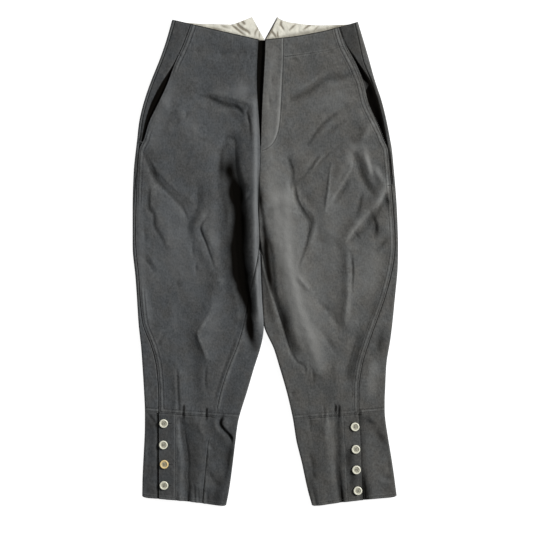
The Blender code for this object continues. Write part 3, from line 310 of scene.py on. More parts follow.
LEFT_CREASES = (
    ("fly dent 1", 3, 3, ((15, 338, 0), (15, 328, -0.8), (15, 317, 0))),
    ("fly dent 2", 3, 3, ((9, 306, 0), (10, 292, -1.0), (12, 272, 0))),
    ("facing pucker 1", 3.5, 3.5, ((44, 368, 0), (52, 366, -1.0), (61, 364, 0))),
    ("facing pucker 2", 3.5, 3.5, ((74, 375, 0), (84, 374, -0.8), (94, 374, 0))),
    ("facing pucker 3", 3.5, 3.5, ((112, 380, 0), (120, 379, -0.8), (128, 381, 0))),
    ("waist swell", 12, 12, ((50, 394, 0), (80, 397, 0.8), (112, 404, 0))),
    ("hip drag", 6, 7, ((42, 291, 0), (55, 296, -1.8), (70, 303, -2.3), (88, 313, -2.3),
        (105, 327, -2.2), (120, 331, -2.0), (140, 333, -1.6), (158, 338, 0))),
    ("hip drag lip", 7, 5, ((50, 306, 0), (72, 316, 1.1), (92, 328, 1.1), (118, 343, 0))),
    ("hip swell", 14, 14, ((96, 290, 0), (120, 300, 1.0), (150, 306, 0))),
    ("hip line 1", 2.6, 3, ((143, 278, 0), (125, 264, -1.2), (105, 248, -1.5), (92, 232, -1.5),
        (84, 219, -1.2), (70, 204, 0))),
    ("hip line 2", 4, 4.5, ((148, 258, 0), (130, 242, -1.0), (115, 230, -1.1), (102, 217, 0))),
    ("hip line lip", 5, 5, ((148, 268, 0), (124, 252, 0.9), (102, 232, 0.9), (88, 212, 0))),
    ("pocket hollow", 9, 9, ((157, 253, 0), (170, 242, -1.5), (187, 229, 0))),
    ("pocket ridge", 8, 8, ((193, 252, 0), (188, 240, 1.2), (180, 225, 1.2), (173, 211, 0))),
    ("thigh crease", 2.4, 3.4, ((55, 146, 0), (56, 132, -1.9), (58, 117, -2.4), (65, 101, -2.4),
        (75, 85, -2.4), (82, 75, -2.2), (83, 66, -1.6), (79, 45, -0.8), (73, 20, -0.6), (66, 5, -0.4),
        (61, -10, 0))),
    ("thigh crease end", 1.5, 1.9, ((82, 76, 0), (83, 66, -1.0), (79, 45, -1.4), (73, 20, -1.4),
        (66, 3, -1.0), (61, -12, 0))),
    ("thigh crease lip", 6, 4, ((70, 120, 0), (76, 102, 1.4), (90, 84, 1.5), (92, 62, 1.5),
        (86, 38, 1.3), (79, 10, 0))),
    ("feeder 1", 3, 3.4, ((102, 192, 0), (92, 182, -1.8), (85, 170, -2.5), (75, 158, -2.5),
        (60, 145, -2.2), (47, 133, 0))),
    ("feeder 2", 2.6, 3.2, ((123, 201, 0), (110, 188, -1.8), (98, 176, -2.0), (83, 163, 0))),
    ("feeder lip", 3.4, 3.4, ((112, 196, 0), (94, 175, 1.6), (76, 159, 1.6), (57, 147, 0))),
    ("crotch fold", 3, 4, ((43, 196, 0), (48, 176, -1.6), (52, 160, -2.1), (50, 140, -1.8),
        (49, 126, 0))),
    ("side ridge 1", 3.4, 2.2, ((124, 190, 0), (119, 160, 1.3), (116, 130, 1.6), (112, 105, 1.6),
        (110, 86, 0))),
    ("side ridge 2", 3.4, 2.6, ((112, 94, 0), (122, 112, 1.8), (134, 130, 1.9), (143, 145, 1.9),
        (150, 158, 1.8), (156, 170, 1.4), (160, 184, 0))),
    ("side ridge hollow", 6, 4, ((124, 100, 0), (134, 116, -1.3), (146, 134, -1.4), (158, 152, 0))),
    ("side crease", 3.4, 4.2, ((177, 128, 0), (174, 112, -1.5), (171, 98, -1.6), (163, 76, 0))),
    ("low side ridge", 2.8, 7.5, ((229, 143, 0), (222, 135, 1.5), (212, 118, 1.4), (203, 103, 1.9),
        (186, 87, 1.5), (170, 71, 2.0), (160, 57, 1.6), (152, 45, 1.5), (144, 33, 0))),
    ("low side hollow", 6, 3.6, ((225, 124, 0), (213, 104, -1.9), (201, 88, -2.4), (189, 74, -2.0),
        (174, 58, -1.4), (160, 41, -1.2), (149, 30, 0))),
    ("side trough", 6.5, 6.5, ((159, 199, 0), (166, 188, -1.8), (175, 160, -2.5), (185, 140, -2.5),
        (193, 129, -2.0), (204, 116, 0))),
    ("side blob 1", 5, 5, ((182, 196, 0), (184, 186, 1.4), (190, 165, 1.4), (192, 154, 0))),
    ("side blob 2", 6, 6, ((198, 176, 0), (203, 165, 1.4), (212, 150, 1.3), (218, 141, 0))),
    ("side mottle 1", 5, 5, ((191, 84, 0), (188, 75, -2.0), (182, 66, 0))),
    ("side mottle 2", 4, 4.5, ((187, 98, 0), (196, 80, -2.2), (201, 66, -2.2), (200, 52, -1.8),
        (200, 38, 0))),
    ("side mottle 5", 2.4, 2.4, ((160, 62, 0), (166, 50, -1.2), (174, 40, 0))),
    ("side mottle 3", 4, 4, ((217, 119, 0), (220, 108, -1.3), (223, 97, 0))),
    ("side mottle 4", 4, 4, ((201, 17, 0), (209, 28, -1.2), (217, 38, -1.2), (225, 49, 0))),
    ("inseam valley top", 5.5, 5, ((-5, 66, 0), (2, 48, -2.4), (9, 28, -3.8), (12, 10, -4.3),
        (14, -10, -4.4), (16, -30, -4.2), (18, -55, -3.8), (24, -80, -3.4), (33, -110, -2.8),
        (41, -138, -2.0), (47, -156, -1.0), (53, -172, 0))),
    ("thigh ridge", 10, 10, ((36, 132, 0), (38, 110, 1.2), (40, 70, 1.6), (42, 30, 1.6),
        (46, -10, 1.6), (54, -50, 1.6), (64, -85, 1.6), (77, -125, 1.6), (90, -165, 1.4),
        (99, -205, 0))),
    ("knee lip", 4, 4.5, ((55, -18, 0), (66, -32, 1.4), (78, -44, 1.4), (91, -57, 0))),
    ("knee side ridge", 3.2, 7, ((152, 24, 0), (151, 0, 0.9), (151, -30, 1.1), (151, -55, 1.4),
        (150, -75, 1.5), (147, -95, 1.2), (145, -118, 0))),
    ("knee side tick", 2.0, 2.4, ((157, 22, 0), (159, 2, -1.6), (160, -20, -1.8), (159, -40, -1.0),
        (158, -58, 0))),
    ("shin tick 1", 3.2, 3.2, ((47, -158, 0), (54, -172, -1.4), (62, -181, -1.5), (71, -186, -1.3),
        (75, -196, -1.1), (75, -212, 0))),
    ("shin tick 2", 2.8, 2.8, ((88, -190, 0), (89, -203, -1.0), (88, -220, 0))),
    ("knee hollow", 3.5, 5, ((94, -64, 0), (108, -78, -0.9), (120, -90, -1.1), (129, -104, -1.1),
        (139, -122, 0))),
    ("shin drag", 5, 5, ((97, -115, 0), (110, -132, -1.1), (122, -150, -1.1), (133, -170, 0))),
    ("shin hollow", 9, 9.5, ((172, -118, 0), (169, -135, -2.0), (164, -152, -2.5), (157, -175, -2.5),
        (151, -200, -2.0), (147, -218, 0))),
    ("shin side dent", 5, 5, ((207, -130, 0), (206, -147, -1.2), (203, -164, 0))),
    ("shin edge dent", 4, 4, ((39, -237, -0.8), (49, -236, -1.7), (60, -230, 0))),
    ("cuff oval 1", 2.4, 2.4, ((128, -255, 0), (128, -266, -2.4), (128, -277, -2.2), (129, -288, 0))),
    ("cuff oval 2", 2.4, 2.4, ((134.5, -255, 0), (134.5, -266, -2.2), (134, -277, -2.0),
        (133, -287, 0))),
    ("cuff valley", 3.8, 3.8, ((131, -280, -0.8), (129, -298, -1.4), (128, -310, -1.5),
        (131, -335, -1.7), (131, -360, -1.8), (132, -385, -2.2), (135, -395, -2.8), (137, -410, -3.2),
        (142, -442, -3.6))),
    ("cuff swell", 8, 8, ((113, -261, 0), (113, -285, 1.4), (112, -310, 1.4), (112, -336, 0))),
    ("cuff tick", 3.2, 3.2, ((108, -254, 0), (108, -275, -1.3), (108, -296, 0))),
    ("cuff dent 1", 4, 4, ((83, -275, 0), (83, -290, -1.3), (83, -305, 0))),
    ("cuff dent 2", 4, 4, ((82, -345, 0), (85, -358, -1.3), (89, -375, 0))),
    ("cuff dent 3", 3.2, 3.2, ((87, -375, 0), (90, -385, -1.1), (94, -396, 0))),
    ("cuff side dent 1", 4, 4, ((183, -282, 0), (192, -289, -1.4), (203, -294, 0))),
    ("cuff side dent 2", 4, 4, ((202, -305, 0), (208, -315, -1.3), (214, -325, 0))),
    ("cuff side dent 3", 4, 4, ((225, -334, 0), (226, -360, -1.2), (226, -386, 0))),
    ("cuff side fold", 2.8, 2.8, ((206, -386, 0), (220, -388, -1.4), (233, -388, 0))),
    ("cuff side lip", 3, 3, ((206, -395, 0), (220, -396, 1.2), (233, -395, 0))),
    ("cuff corner", 6, 6, ((81, -398, 0), (88, -412, -1.4), (93, -442, -1.5))),
)

# Painted shade, where the cloth folds so deeply that no light reaches it and in the shadows beside
# seams, edges and gaps: the same columns, with how dark it is, from 0 to 1, in place of the height
RIGHT_PAINTED_SHADE = (
    ("crotch valley", 18, 19, ((-60, 216, 0), (-60, 196, 0.4), (-60, 178, 0.8), (-61, 154, 1.1),
        (-54, 130, 1.25), (-50, 105, 1.2), (-47, 80, 1.3), (-49, 55, 1.4), (-50, 30, 1.4),
        (-49, 0, 1.3), (-43, -35, 1.2), (-37, -60, 0.6), (-34, -80, 0))),
    ("crotch valley end", 8, 7.5, ((-37, -48, 0.6), (-30, -78, 1.15), (-28, -100, 1.25),
        (-27, -120, 1.15), (-24, -140, 0.95), (-19, -155, 0.4))),
    ("crotch valley shade", 12, 8, ((-46, -50, 0.3), (-43, -80, 0.5), (-41, -100, 0.5),
        (-42, -118, 0.2), (-43, -132, 0))),
    ("crotch streak", 4, 5, ((-74, 214, 0), (-78, 192, 0.35), (-80, 165, 0.3), (-78, 140, 0))),
    ("hip drag", 2.2, 4, ((-114, 301, 0), (-98, 295, 0.55), (-86, 291, 0.6), (-70, 286, 0.45),
        (-54, 283, 0.35), (-42, 276, 0))),
    ("fly edge", 3, 4, ((-11, 402, 0.45), (-13, 366, 0.5), (-14, 330, 0.5), (-13, 296, 0.4),
        (-10, 262, 0.2), (-8, 230, 0))),
    ("pocket tip", 1.6, 1.6, ((-222, 232, 0.6), (-227, 219, 0.8), (-230, 208, 0))),
    ("side seam", 1.8, 1.8, ((-226, 208, 0.3), (-229, 190, 0.8), (-231, 165, 0.7), (-234, 145, 0.9),
        (-235.5, 130, 1.2), (-236, 115, 0.7), (-235, 100, 0))),
    ("centre seam", 2.4, 2.6, ((-9, 176, 0), (-10, 150, 0.5), (-11, 130, 1.0), (-11, 108, 1.2),
        (-9.5, 85, 0.8), (-8, 60, 0.6), (-8, 15, 0.6))),
    ("pocket crease", 5, 5, ((-208, 178, 0), (-200, 160, 0.8), (-191, 146, 0))),
    ("cuff valley end", 3, 3, ((-138, -392, 0), (-138, -412, 0.8), (-138, -444, 1))),
    ("cuff tick 1", 2.4, 2.4, ((-146, -260, 0.9), (-146, -280, 0.7))),
    ("cuff tick 2", 2.2, 2.2, ((-105, -266, 0.8), (-105, -283, 0.6))),
    ("cuff tuck", 3.4, 3.8, ((-73, -277, 0.5), (-78, -285, 1), (-79, -293, 1.1), (-71, -304, 1.1),
        (-62, -314, 1.1), (-55, -326, 0.9), (-53, -333, 0))),
)
LEFT_PAINTED_SHADE = (
    ("centre shade", 5, 4, ((-10, 140, 0), (-9, 118, 0.8), (-8, 100, 0.85), (-4, 80, 0.6),
        (-2, 60, 0.55), (0, 40, 0.3), (2, 20, 0))),
    ("inseam valley", 11, 8, ((-3, 70, 0.1), (0, 44, 0.6), (1, 20, 0.85), (4, -5, 0.85), (8, -30, 0.9),
        (15, -55, 0.85), (24, -80, 0.95), (34, -110, 0.95), (42, -140, 0.85), (51, -160, 0.5),
        (60, -174, 0))),
    ("hip seam", 1.8, 2.2, ((155, 426, 0.3), (159, 404, 0.3), (165, 386, 0.4), (172, 369, 0.5),
        (180, 351, 0.7), (187, 335, 0.9), (193, 322, 0.8), (198, 308, 0))),
    ("placket wedge", 3.4, 2.6, ((175, -362, 0), (178, -390, 0.7), (180, -408, 1.0), (183, -440, 1.0))),
    ("side seam", 1.8, 1.8, ((222, 208, 0.3), (225, 190, 1.0), (227, 165, 1.1), (229, 145, 0.9),
        (230, 135, 0))),
    ("thigh crease", 1.6, 2, ((56, 140, 0), (57, 122, 0.55), (64, 102, 0.45), (76, 84, 0.35),
        (83, 70, 0.45), (81, 52, 0.3), (75, 30, 0))),
    ("side mottle 1", 7, 6, ((193, 92, 0), (191, 78, 0.75), (184, 66, 0))),
    ("side mottle 2", 6, 5, ((196, 80, 0), (200, 62, 0.75), (203, 44, 0))),
    ("side mottle 3", 3.4, 3.4, ((217, 126, 0), (220, 110, 0.8), (222, 96, 0))),
    ("side trough", 4, 4, ((167, 190, 0), (175, 162, 0.3), (184, 141, 0.35), (191, 128, 0))),
    ("cuff oval 1", 2.2, 2.2, ((128, -260, 0.9), (128, -280, 0.6))),
    ("cuff oval 2", 2.2, 2.2, ((134.5, -260, 0.8), (134, -280, 0.6))),
    ("cuff valley end", 4, 3.4, ((133, -386, 0), (136, -404, 0.9), (140, -444, 1.2))),
    ("strip top", 2, 2, ((171, -262, 0), (172, -272, 0.8), (171, -282, 0))),
)

# Patches of painted highlight (above 0) and painted shade (below 0), partly standing for faded cloth,
# from 1 to -1: the same columns again
RIGHT_FADE_AND_LIGHT = (
    ("pocket side", 14, 9, ((-166, 338, 0), (-176, 300, 0.3), (-190, 262, 0.28), (-202, 225, 0.2),
        (-213, 190, 0))),
    ("hip glow", 14, 15, ((-70, 318, 0), (-52, 312, 0.32), (-38, 308, 0.42), (-26, 299, 0))),
    ("hip glow 2", 11, 11, ((-96, 314, 0), (-80, 307, 0.15), (-64, 304, 0))),
    ("hip patch", 17, 17, ((-162, 262, 0), (-142, 244, 0.18), (-128, 222, 0.14), (-120, 192, 0))),
    ("hip shade", 20, 18, ((-128, 345, 0), (-95, 340, -0.16), (-60, 350, -0.14), (-30, 360, 0))),
    ("waist shade", 10, 10, ((-132, 402, 0), (-80, 390, -0.2), (-30, 380, -0.2), (-14, 376, 0))),
    ("drag shade", 9, 5, ((-104, 290, 0), (-78, 276, -0.2), (-50, 262, -0.35), (-36, 240, -0.3),
        (-33, 212, -0.2), (-34, 186, 0))),
    ("centre strip", 5, 6.5, ((-18, 304, 0), (-18, 284, 0.4), (-17, 240, 0.55), (-17, 200, 0.65),
        (-18, 150, 0.85), (-18, 100, 0.95), (-17, 60, 0.8), (-16, 20, 0.75), (-14, -20, 0.9),
        (-12, -60, 1.0), (-9, -95, 1.0), (-7, -124, 0.3))),
    ("inseam patch", 8, 8, ((-36, -126, 0), (-34, -142, 0.25), (-30, -152, 0.2), (-26, -160, 0))),
    ("outer strip", 7, 5, ((-226, 142, 0), (-226, 100, 0.2), (-225, 40, 0.2), (-222, -20, 0.3),
        (-217, -60, 0.35), (-208, -95, 0.25), (-203, -125, 0))),
    ("pocket end", 7, 7, ((-220, 205, 0), (-218, 178, -0.3), (-224, 152, -0.3), (-228, 136, 0))),
    ("thigh shade", 12, 12, ((-118, 152, 0), (-118, 120, -0.16), (-130, 78, -0.2), (-137, 45, 0))),
    ("thigh glow", 9, 9, ((-92, 150, 0), (-90, 90, 0.12), (-86, 40, 0.15), (-84, -20, 0))),
    ("valley side", 9, 9, ((-78, 214, 0), (-76, 170, -0.35), (-71, 130, -0.5), (-69, 90, -0.7),
        (-70, 50, -0.4), (-70, 0, -0.45), (-62, -40, -0.5), (-54, -75, -0.4), (-50, -105, -0.2),
        (-46, -130, 0))),
    ("thigh base", 46, 40, ((-160, 140, 0), (-158, 70, 0.17), (-158, 0, 0.17), (-160, -70, 0))),
    ("knee glow", 17, 10, ((-82, -58, 0), (-92, -95, 0.14), (-98, -130, 0.14), (-92, -180, 0))),
    ("knee shade", 11, 11, ((-136, -118, 0), (-128, -150, -0.2), (-121, -190, -0.25),
        (-118, -220, -0.15), (-116, -248, 0))),
    ("knee side glow", 9, 9, ((-180, -58, 0), (-165, -82, 0.12), (-160, -112, 0.12), (-158, -150, 0))),
    ("shin shade", 11, 11, ((-190, -150, 0), (-181, -180, -0.15), (-174, -216, -0.15), (-172, -250, 0))),
    ("inseam glow", 2.6, 2.6, ((-45, -140, 0), (-52, -160, 0.3), (-62, -190, 0.3), (-70, -215, 0.2),
        (-76, -236, 0))),
    ("inseam shade", 10, 10, ((-40, -190, 0), (-52, -216, -0.15), (-62, -245, -0.2), (-68, -270, 0))),
    ("cuff ridge", 7, 6, ((-158, -262, 0), (-156, -300, 0.22), (-153, -335, 0.25), (-152, -365, 0.2),
        (-155, -400, 0.22), (-155, -430, 0.1))),
    ("cuff panel", 12, 12, ((-128, -284, 0), (-126, -320, -0.1), (-124, -370, -0.12), (-122, -430, 0))),
    ("cuff inner edge", 8, 9, ((-60, -330, 0), (-65, -350, -0.5), (-70, -378, -0.35),
        (-82, -404, -0.4), (-88, -438, -0.45))),
    ("cuff drag", 7, 7, ((-104, -352, 0), (-92, -362, 0.16), (-82, -380, 0.14), (-74, -396, 0))),
    ("cuff side", 10, 8, ((-214, -275, 0), (-207, -290, -0.4), (-204, -312, -0.25), (-207, -345, 0),
        (-205, -380, -0.15), (-208, -425, -0.1))),
    ("tuck shade", 8, 8, ((-92, -288, 0), (-80, -304, -0.2), (-70, -320, -0.35), (-61, -336, -0.3),
        (-60, -352, 0))),
)
LEFT_FADE_AND_LIGHT = (
    ("fly facing", 9, 11, ((14, 402, 0), (14, 370, 0.2), (12, 330, 0.25), (10, 290, 0.25),
        (10, 240, 0.3), (8, 205, 0.25), (8, 170, 0.1), (10, 140, 0))),
    ("fly streak", 3, 3, ((24, 345, 0), (24, 300, 0.3), (23, 265, 0.4), (21, 235, 0.35), (16, 212, 0))),
    ("waist shade", 12, 14, ((44, 390, 0), (75, 390, -0.12), (110, 396, -0.1), (132, 404, 0))),
    ("hip shade", 12, 12, ((44, 348, 0), (62, 345, -0.1), (100, 350, -0.16), (130, 352, -0.1),
        (152, 352, 0))),
    ("drag shade", 6, 8, ((44, 290, 0), (60, 300, -0.2), (85, 315, -0.22), (105, 329, -0.25),
        (130, 336, -0.2), (154, 340, 0))),
    ("hip glow", 24, 26, ((76, 282, 0), (110, 288, 0.12), (140, 300, 0.14), (164, 300, 0))),
    ("pocket hollow", 10, 10, ((148, 264, 0), (164, 240, -0.3), (177, 222, -0.3), (188, 210, 0))),
    ("pocket glow", 7, 7, ((197, 256, 0), (190, 244, 0.14), (184, 231, 0.26), (175, 214, 0.28),
        (168, 203, 0))),
    ("mouth glow", 3, 3, ((177, 332, 0), (180, 318, 0.5), (181, 305, 0.4), (183, 290, 0))),
    ("crotch glow", 14, 14, ((16, 204, 0), (20, 170, 0.16), (27, 140, 0.25), (30, 118, 0.3),
        (33, 100, 0))),
    ("thigh ridge", 17, 14, ((28, 138, 0), (32, 110, 0.75), (35, 70, 0.75), (40, 30, 0.82),
        (46, 0, 0.8), (51, -30, 0.88), (58, -60, 0.88), (66, -95, 0.84), (76, -130, 0.84),
        (85, -160, 0.65), (95, -190, 0.42), (106, -206, 0))),
    ("crotch bright", 12, 9, ((6, 178, 0), (8, 150, 0.2), (11, 112, 0.45), (15, 88, 0.65),
        (21, 60, 0.75), (27, 30, 0.6), (31, 4, 0.5), (35, -16, 0))),
    ("inner panel", 8, 8, ((-6, 50, 0), (-3, 14, -0.4), (0, -30, -0.5), (4, -60, -0.55),
        (8, -85, -0.6), (16, -108, -0.5), (24, -126, -0.35), (34, -148, 0))),
    ("ridge side", 8, 8, ((32, 12, 0), (37, -30, 0.4), (45, -70, 0.4), (54, -105, 0.35),
        (63, -140, 0.2), (70, -165, 0))),
    ("fly line", 1.5, 1.5, ((31, 404, 0.5), (31, 384, 0.35), (30, 360, 0.2), (28.5, 335, 0.5),
        (27, 300, 0.6), (25.5, 270, 0.5), (22, 238, 0.4), (14, 217, 0.3), (4, 206, 0))),
    ("hip edge", 5, 5, ((193, 338, 0), (205, 305, -0.5), (215, 265, -0.6), (222, 232, -0.5),
        (226, 206, 0))),
    ("side triangle", 10, 9, ((160, 210, 0.3), (150, 182, 0.3), (139, 158, 0.2), (126, 132, 0.18),
        (117, 108, 0.15), (112, 90, 0))),
    ("side trough", 8, 8, ((162, 204, 0), (168, 186, -0.4), (175, 160, -0.45), (184, 140, -0.4),
        (193, 124, -0.3), (196, 108, 0))),
    ("side blob 1", 4.5, 4.5, ((180, 206, 0.3), (184, 186, 0.5), (190, 166, 0.5), (193, 150, 0))),
    ("side blob 2", 5, 5, ((195, 178, 0), (204, 160, 0.25), (213, 147, 0.08), (219, 138, 0.3),
        (212, 120, 0.3), (204, 106, 0.25), (198, 95, 0))),
    ("side mottle", 9, 9, ((208, 102, 0), (197, 84, -0.6), (191, 72, -0.5), (200, 56, -0.6),
        (205, 40, 0))),
    ("edge shade", 5, 5, ((217, 127, 0), (221, 112, -0.5), (224, 98, -0.3), (225, 82, 0))),
    ("edge glow", 5, 5, ((226, 86, 0), (223, 68, 0.35), (226, 46, 0.35), (231, 14, 0))),
    ("side dent", 5, 4, ((197, 14, 0), (209, 28, -0.35), (218, 38, -0.35), (226, 50, 0))),
    ("low ridge", 3, 4, ((198, 99, 0), (184, 85, 0.15), (169, 69, 0.32), (156, 52, 0.35), (145, 34, 0))),
    ("low ridge shade", 7, 5, ((192, 73, 0), (178, 59, -0.35), (165, 48, -0.3), (156, 34, 0))),
    ("knee side glow", 3.5, 3.5, ((155, 22, 0), (156, -20, 0.15), (154, -60, 0.28), (151, -95, 0.3),
        (146, -120, 0))),
    ("side glow", 20, 16, ((196, 30, 0), (192, -10, 0.24), (186, -45, 0.2), (180, -80, 0))),
    ("panel glow", 30, 30, ((112, 130, 0), (112, 70, 0.2), (114, 0, 0.12), (112, -60, 0.1),
        (114, -90, 0.12), (118, -120, 0.09), (124, -165, 0))),
    ("seam shade", 9, 7, ((218, 70, 0), (214, -10, -0.1), (204, -60, -0.2), (192, -100, -0.3),
        (182, -128, 0))),
    ("shin hollow", 10, 11, ((178, -108, 0), (171, -134, -0.35), (164, -160, -0.4), (156, -186, -0.4),
        (152, -206, -0.25), (150, -228, 0))),
    ("shin outer shade", 10, 10, ((214, -112, 0), (210, -135, -0.5), (206, -155, -0.55),
        (196, -172, 0))),
    ("shin side glow", 13, 10, ((202, -174, 0), (195, -192, 0.45), (191, -216, 0.35), (189, -240, 0.2),
        (188, -264, 0))),
    ("shin low shade", 18, 18, ((92, -212, 0), (118, -232, -0.12), (142, -244, -0.14), (158, -252, 0))),
    ("inseam glow", 7, 7, ((22, -150, 0), (34, -180, 0.12), (45, -212, 0.1), (52, -238, 0))),
    ("shin tick", 2.2, 2.2, ((77, -178, 0), (77, -196, 0.35), (74, -212, 0.2), (69, -224, 0))),
    ("cuff valley", 5, 6, ((133, -280, 0), (132, -310, -0.15), (131, -345, -0.35), (132, -370, -0.45),
        (134, -392, -0.6), (138, -436, -0.6))),
    ("strip shade", 8, 8, ((149, -328, 0), (151, -350, -0.6), (153, -368, -0.5), (158, -392, -0.6),
        (155, -408, -0.35), (158, -430, 0))),
    ("side diagonal", 8, 8, ((174, -274, 0), (187, -288, -0.4), (199, -300, -0.25), (208, -316, -0.5),
        (218, -330, -0.3), (225, -348, 0))),
    ("side fold", 8, 7, ((175, -368, 0), (178, -394, -0.6), (181, -415, -0.8), (184, -436, -0.8))),
    ("side swell", 12, 12, ((190, -304, 0), (192, -336, 0.1), (198, -366, 0.14), (202, -396, 0.1),
        (210, -424, 0))),
    ("cuff swell", 9, 9, ((116, -268, 0), (114, -290, 0.12), (112, -320, 0.1), (112, -350, 0))),
    ("cuff inner edge", 6, 6, ((83, -338, 0), (86, -360, -0.25), (88, -380, -0.25), (82, -405, -0.3),
        (92, -436, -0.3))),
)
SHIN_TONES = {"right": -0.07, "left": -0.13}     # the shins are darker all over
SHIN_Y = -110.0
SHIN_FADE = 110.0
CUFF_TONES = {"right": -0.17, "left": -0.10}     # and the cuffs more so
CUFF_TONE_FADE = 16.0
CLOUD = 0.05                 # soft clouds of tone over all the cloth, in two sizes
CLOUD_SIZE = 22.0
SMALL_CLOUD = 0.6            # the smaller ones' shares of that strength and of that size
SMALL_CLOUD_SIZE = 0.45
BEARER_TONES = {"right": -0.25, "left": -0.6}
FADED_AND_LIT = 2.6                  # a fully lit patch, painted highlight with some fading, is this much paler than the cloth

# Soft creases on the underside, which the surface has pressed nearly flat
RIGHT_UNDER = (
    ("seat drag", 14, 10, ((-40, 250, 0), (-85, 275, 0.5), (-140, 285, 0.4), (-190, 275, 0))),
    ("thigh drag", 12, 16, ((-60, 120, 0), (-105, 60, 0.6), (-120, -10, 0.4), (-110, -60, 0))),
    ("knee drag", 10, 12, ((-190, 20, 0), (-165, -45, 0.5), (-160, -110, 0))),
    ("calf drag", 8, 10, ((-80, -130, 0), (-120, -180, 0.5), (-150, -235, 0))),
)
LEFT_UNDER = (
    ("seat drag", 12, 14, ((35, 235, 0), (80, 262, 0.5), (130, 280, 0.5), (180, 262, 0))),
    ("thigh drag", 14, 12, ((50, 150, 0), (95, 95, 0.6), (110, 15, 0.4), (100, -40, 0))),
    ("knee drag", 10, 12, ((190, 60, 0), (170, -20, 0.5), (175, -90, 0))),
    ("calf drag", 9, 9, ((75, -120, 0), (105, -175, 0.5), (140, -225, 0))),
)

# Creases in the lining of the fishtail
LINING_CREASES = (
    ("peak crease", 1.6, 1.8, ((-51, 433, -0.7), (-48, 426, -0.9), (-40, 420, -0.9), (-31, 415, -0.6),
        (-26, 408, 0))),
    ("peak crease 2", 1.4, 1.4, ((-64, 429, 0), (-53, 421, -0.7), (-43, 413, -0.5), (-34, 407, 0))),
    ("peak crease 3", 1.4, 2.2, ((-44, 437, 0), (-39, 431, -0.6), (-36, 426, 0))),
    ("notch crease 1", 1.3, 1.3, ((-17, 428, 0), (-14, 421, -0.4), (-18, 414, -0.4), (-20, 403, 0))),
    ("notch crease 2", 1.1, 1.1, ((-11, 417, 0), (-11, 409, -0.35), (-11, 400, 0))),
    ("notch crease 3", 1.4, 1.8, ((19, 438, -0.3), (15, 430, -0.45), (12, 419, -0.5), (8, 411, -0.45),
        (4, 402, -0.2))),
    ("notch crease 4", 1.4, 1.2, ((8, 418, -0.4), (13, 413, -0.9), (17, 408, -0.7), (20, 403, 0))),
    ("left crease 1", 1.4, 1.4, ((29, 436, 0), (28, 430, -0.7), (25, 424, 0))),
    ("left crease 2", 1.2, 1.2, ((27, 430, 0), (30, 424, -0.6), (35, 416, 0))),
    ("left crease 3", 1.2, 1.4, ((22, 417, 0), (22, 410, -0.6), (24, 403, 0))),
    ("left crease 4", 1.3, 1.3, ((57, 430, 0), (49, 423, -0.6), (41, 415, 0))),
    ("left crease 5", 1.4, 1.4, ((85, 429, 0), (76, 424, -0.6), (66, 416, 0))),
    ("left crease 6", 1.2, 1.2, ((87, 416, 0), (92, 421, -0.35), (97, 427, 0))),
    ("left streak", 2.5, 2.5, ((112, 416, 0), (126, 421, -0.3), (143, 428, 0))),
    ("right streak 1", 2.5, 2.5, ((-144, 425, 0), (-128, 423, -0.3), (-108, 420, 0))),
    ("right streak 2", 2.0, 2.0, ((-104, 424, 0), (-90, 420, -0.3), (-70, 417, 0))),
    ("right streak 3", 2.0, 2.0, ((-82, 427, 0), (-74, 424, -0.3), (-62, 421, 0))),
)

# Sewing, in millimetres
SEAM_STITCH = (3.0, 9.0)     # the two rows beside the side seams and the right pocket
CROSS_STITCH = (2.2, 8.0)
HEM_STITCH = 5.0
LEFT_POCKET_LINE = (
    (130, 424), (136, 398), (143, 375), (150, 358), (157, 340), (166, 315), (176, 290),
    (186, 268), (196, 248), (207, 222), (213, 190), (218, 160), (222, 140),
)
LEFT_POCKET_TWIN = (
    (137, 427), (142, 400), (149, 378), (157, 360), (164, 342), (172, 317), (182, 292),
    (193, 268), (203, 248), (214, 220), (221, 190), (226, 160), (229, 140),
)
FLY_LINE = (
    (32.5, 403), (32.5, 380), (32.3, 355), (31, 330), (29, 292), (27, 258), (23.5, 234),
    (16, 215), (5, 204), (-6.5, 199),
)
RIGHT_FACING_LINE = ((-17, 369), (-50, 371), (-84, 375), (-118, 380), (-145, 388))
LEFT_FACING_LINE = ((36, 369), (80, 375), (115, 381), (141, 388))
RIGHT_STRIP_LINE = ((-162, -266), (-162, -320), (-162, -380), (-162, -431))
LEFT_STRIP_LINE = ((140, -266), (142, -300), (143.5, -330), (146, -360), (147, -400), (149, -432))
BARTACKS = (
    ("left", (219, 137), (229, 138)), ("right", (-218, 214), (-227, 216)),
    ("right", (-150, 375), (-157, 372)),
)
STITCH_PITCH = 3.6
STITCH_LENGTH = 2.9
STITCH_WIDTH = 0.62
STITCH_HEIGHT = 0.42
STITCH_LIFT = 0.12           # the middle of a stitch over the cloth
POCKET_LIFT = 0.45
FACING_LIFT = 0.05
LEVEL_LIFT = 0.35            # of the rows that run across the leg
LEVEL_PLACES = 60
STITCH_SLOPE = 0.8           # the steepest that a stitch lies
SEEN = 0.6                   # sewing that shows less plainly than this has no stitches
STITCH_SIDES = 6
STITCH_RINGS = 3
HOLE_LENGTH = 14.5           # a buttonhole, from just behind the button towards the front
HOLE_START = 1.5
HOLE_BAR_PITCH = 0.75
HOLE_BAR_LENGTH = 1.5
SLIT_WIDTH = 0.7
SLIT_SHORTER = 1.0           # than its buttonhole
TACK_PITCH = 0.7
TACK_LENGTH = 2.6
TACK_LIFT = 0.5

# Hem, in millimetres
HEM_ROWS = 12
HEM_BOW = 1.8                # the hem arches up between its corners
HEM_CORNER = 3.0             # and its corners are rounded
HEM_CORNER_WIDTH = 4.0

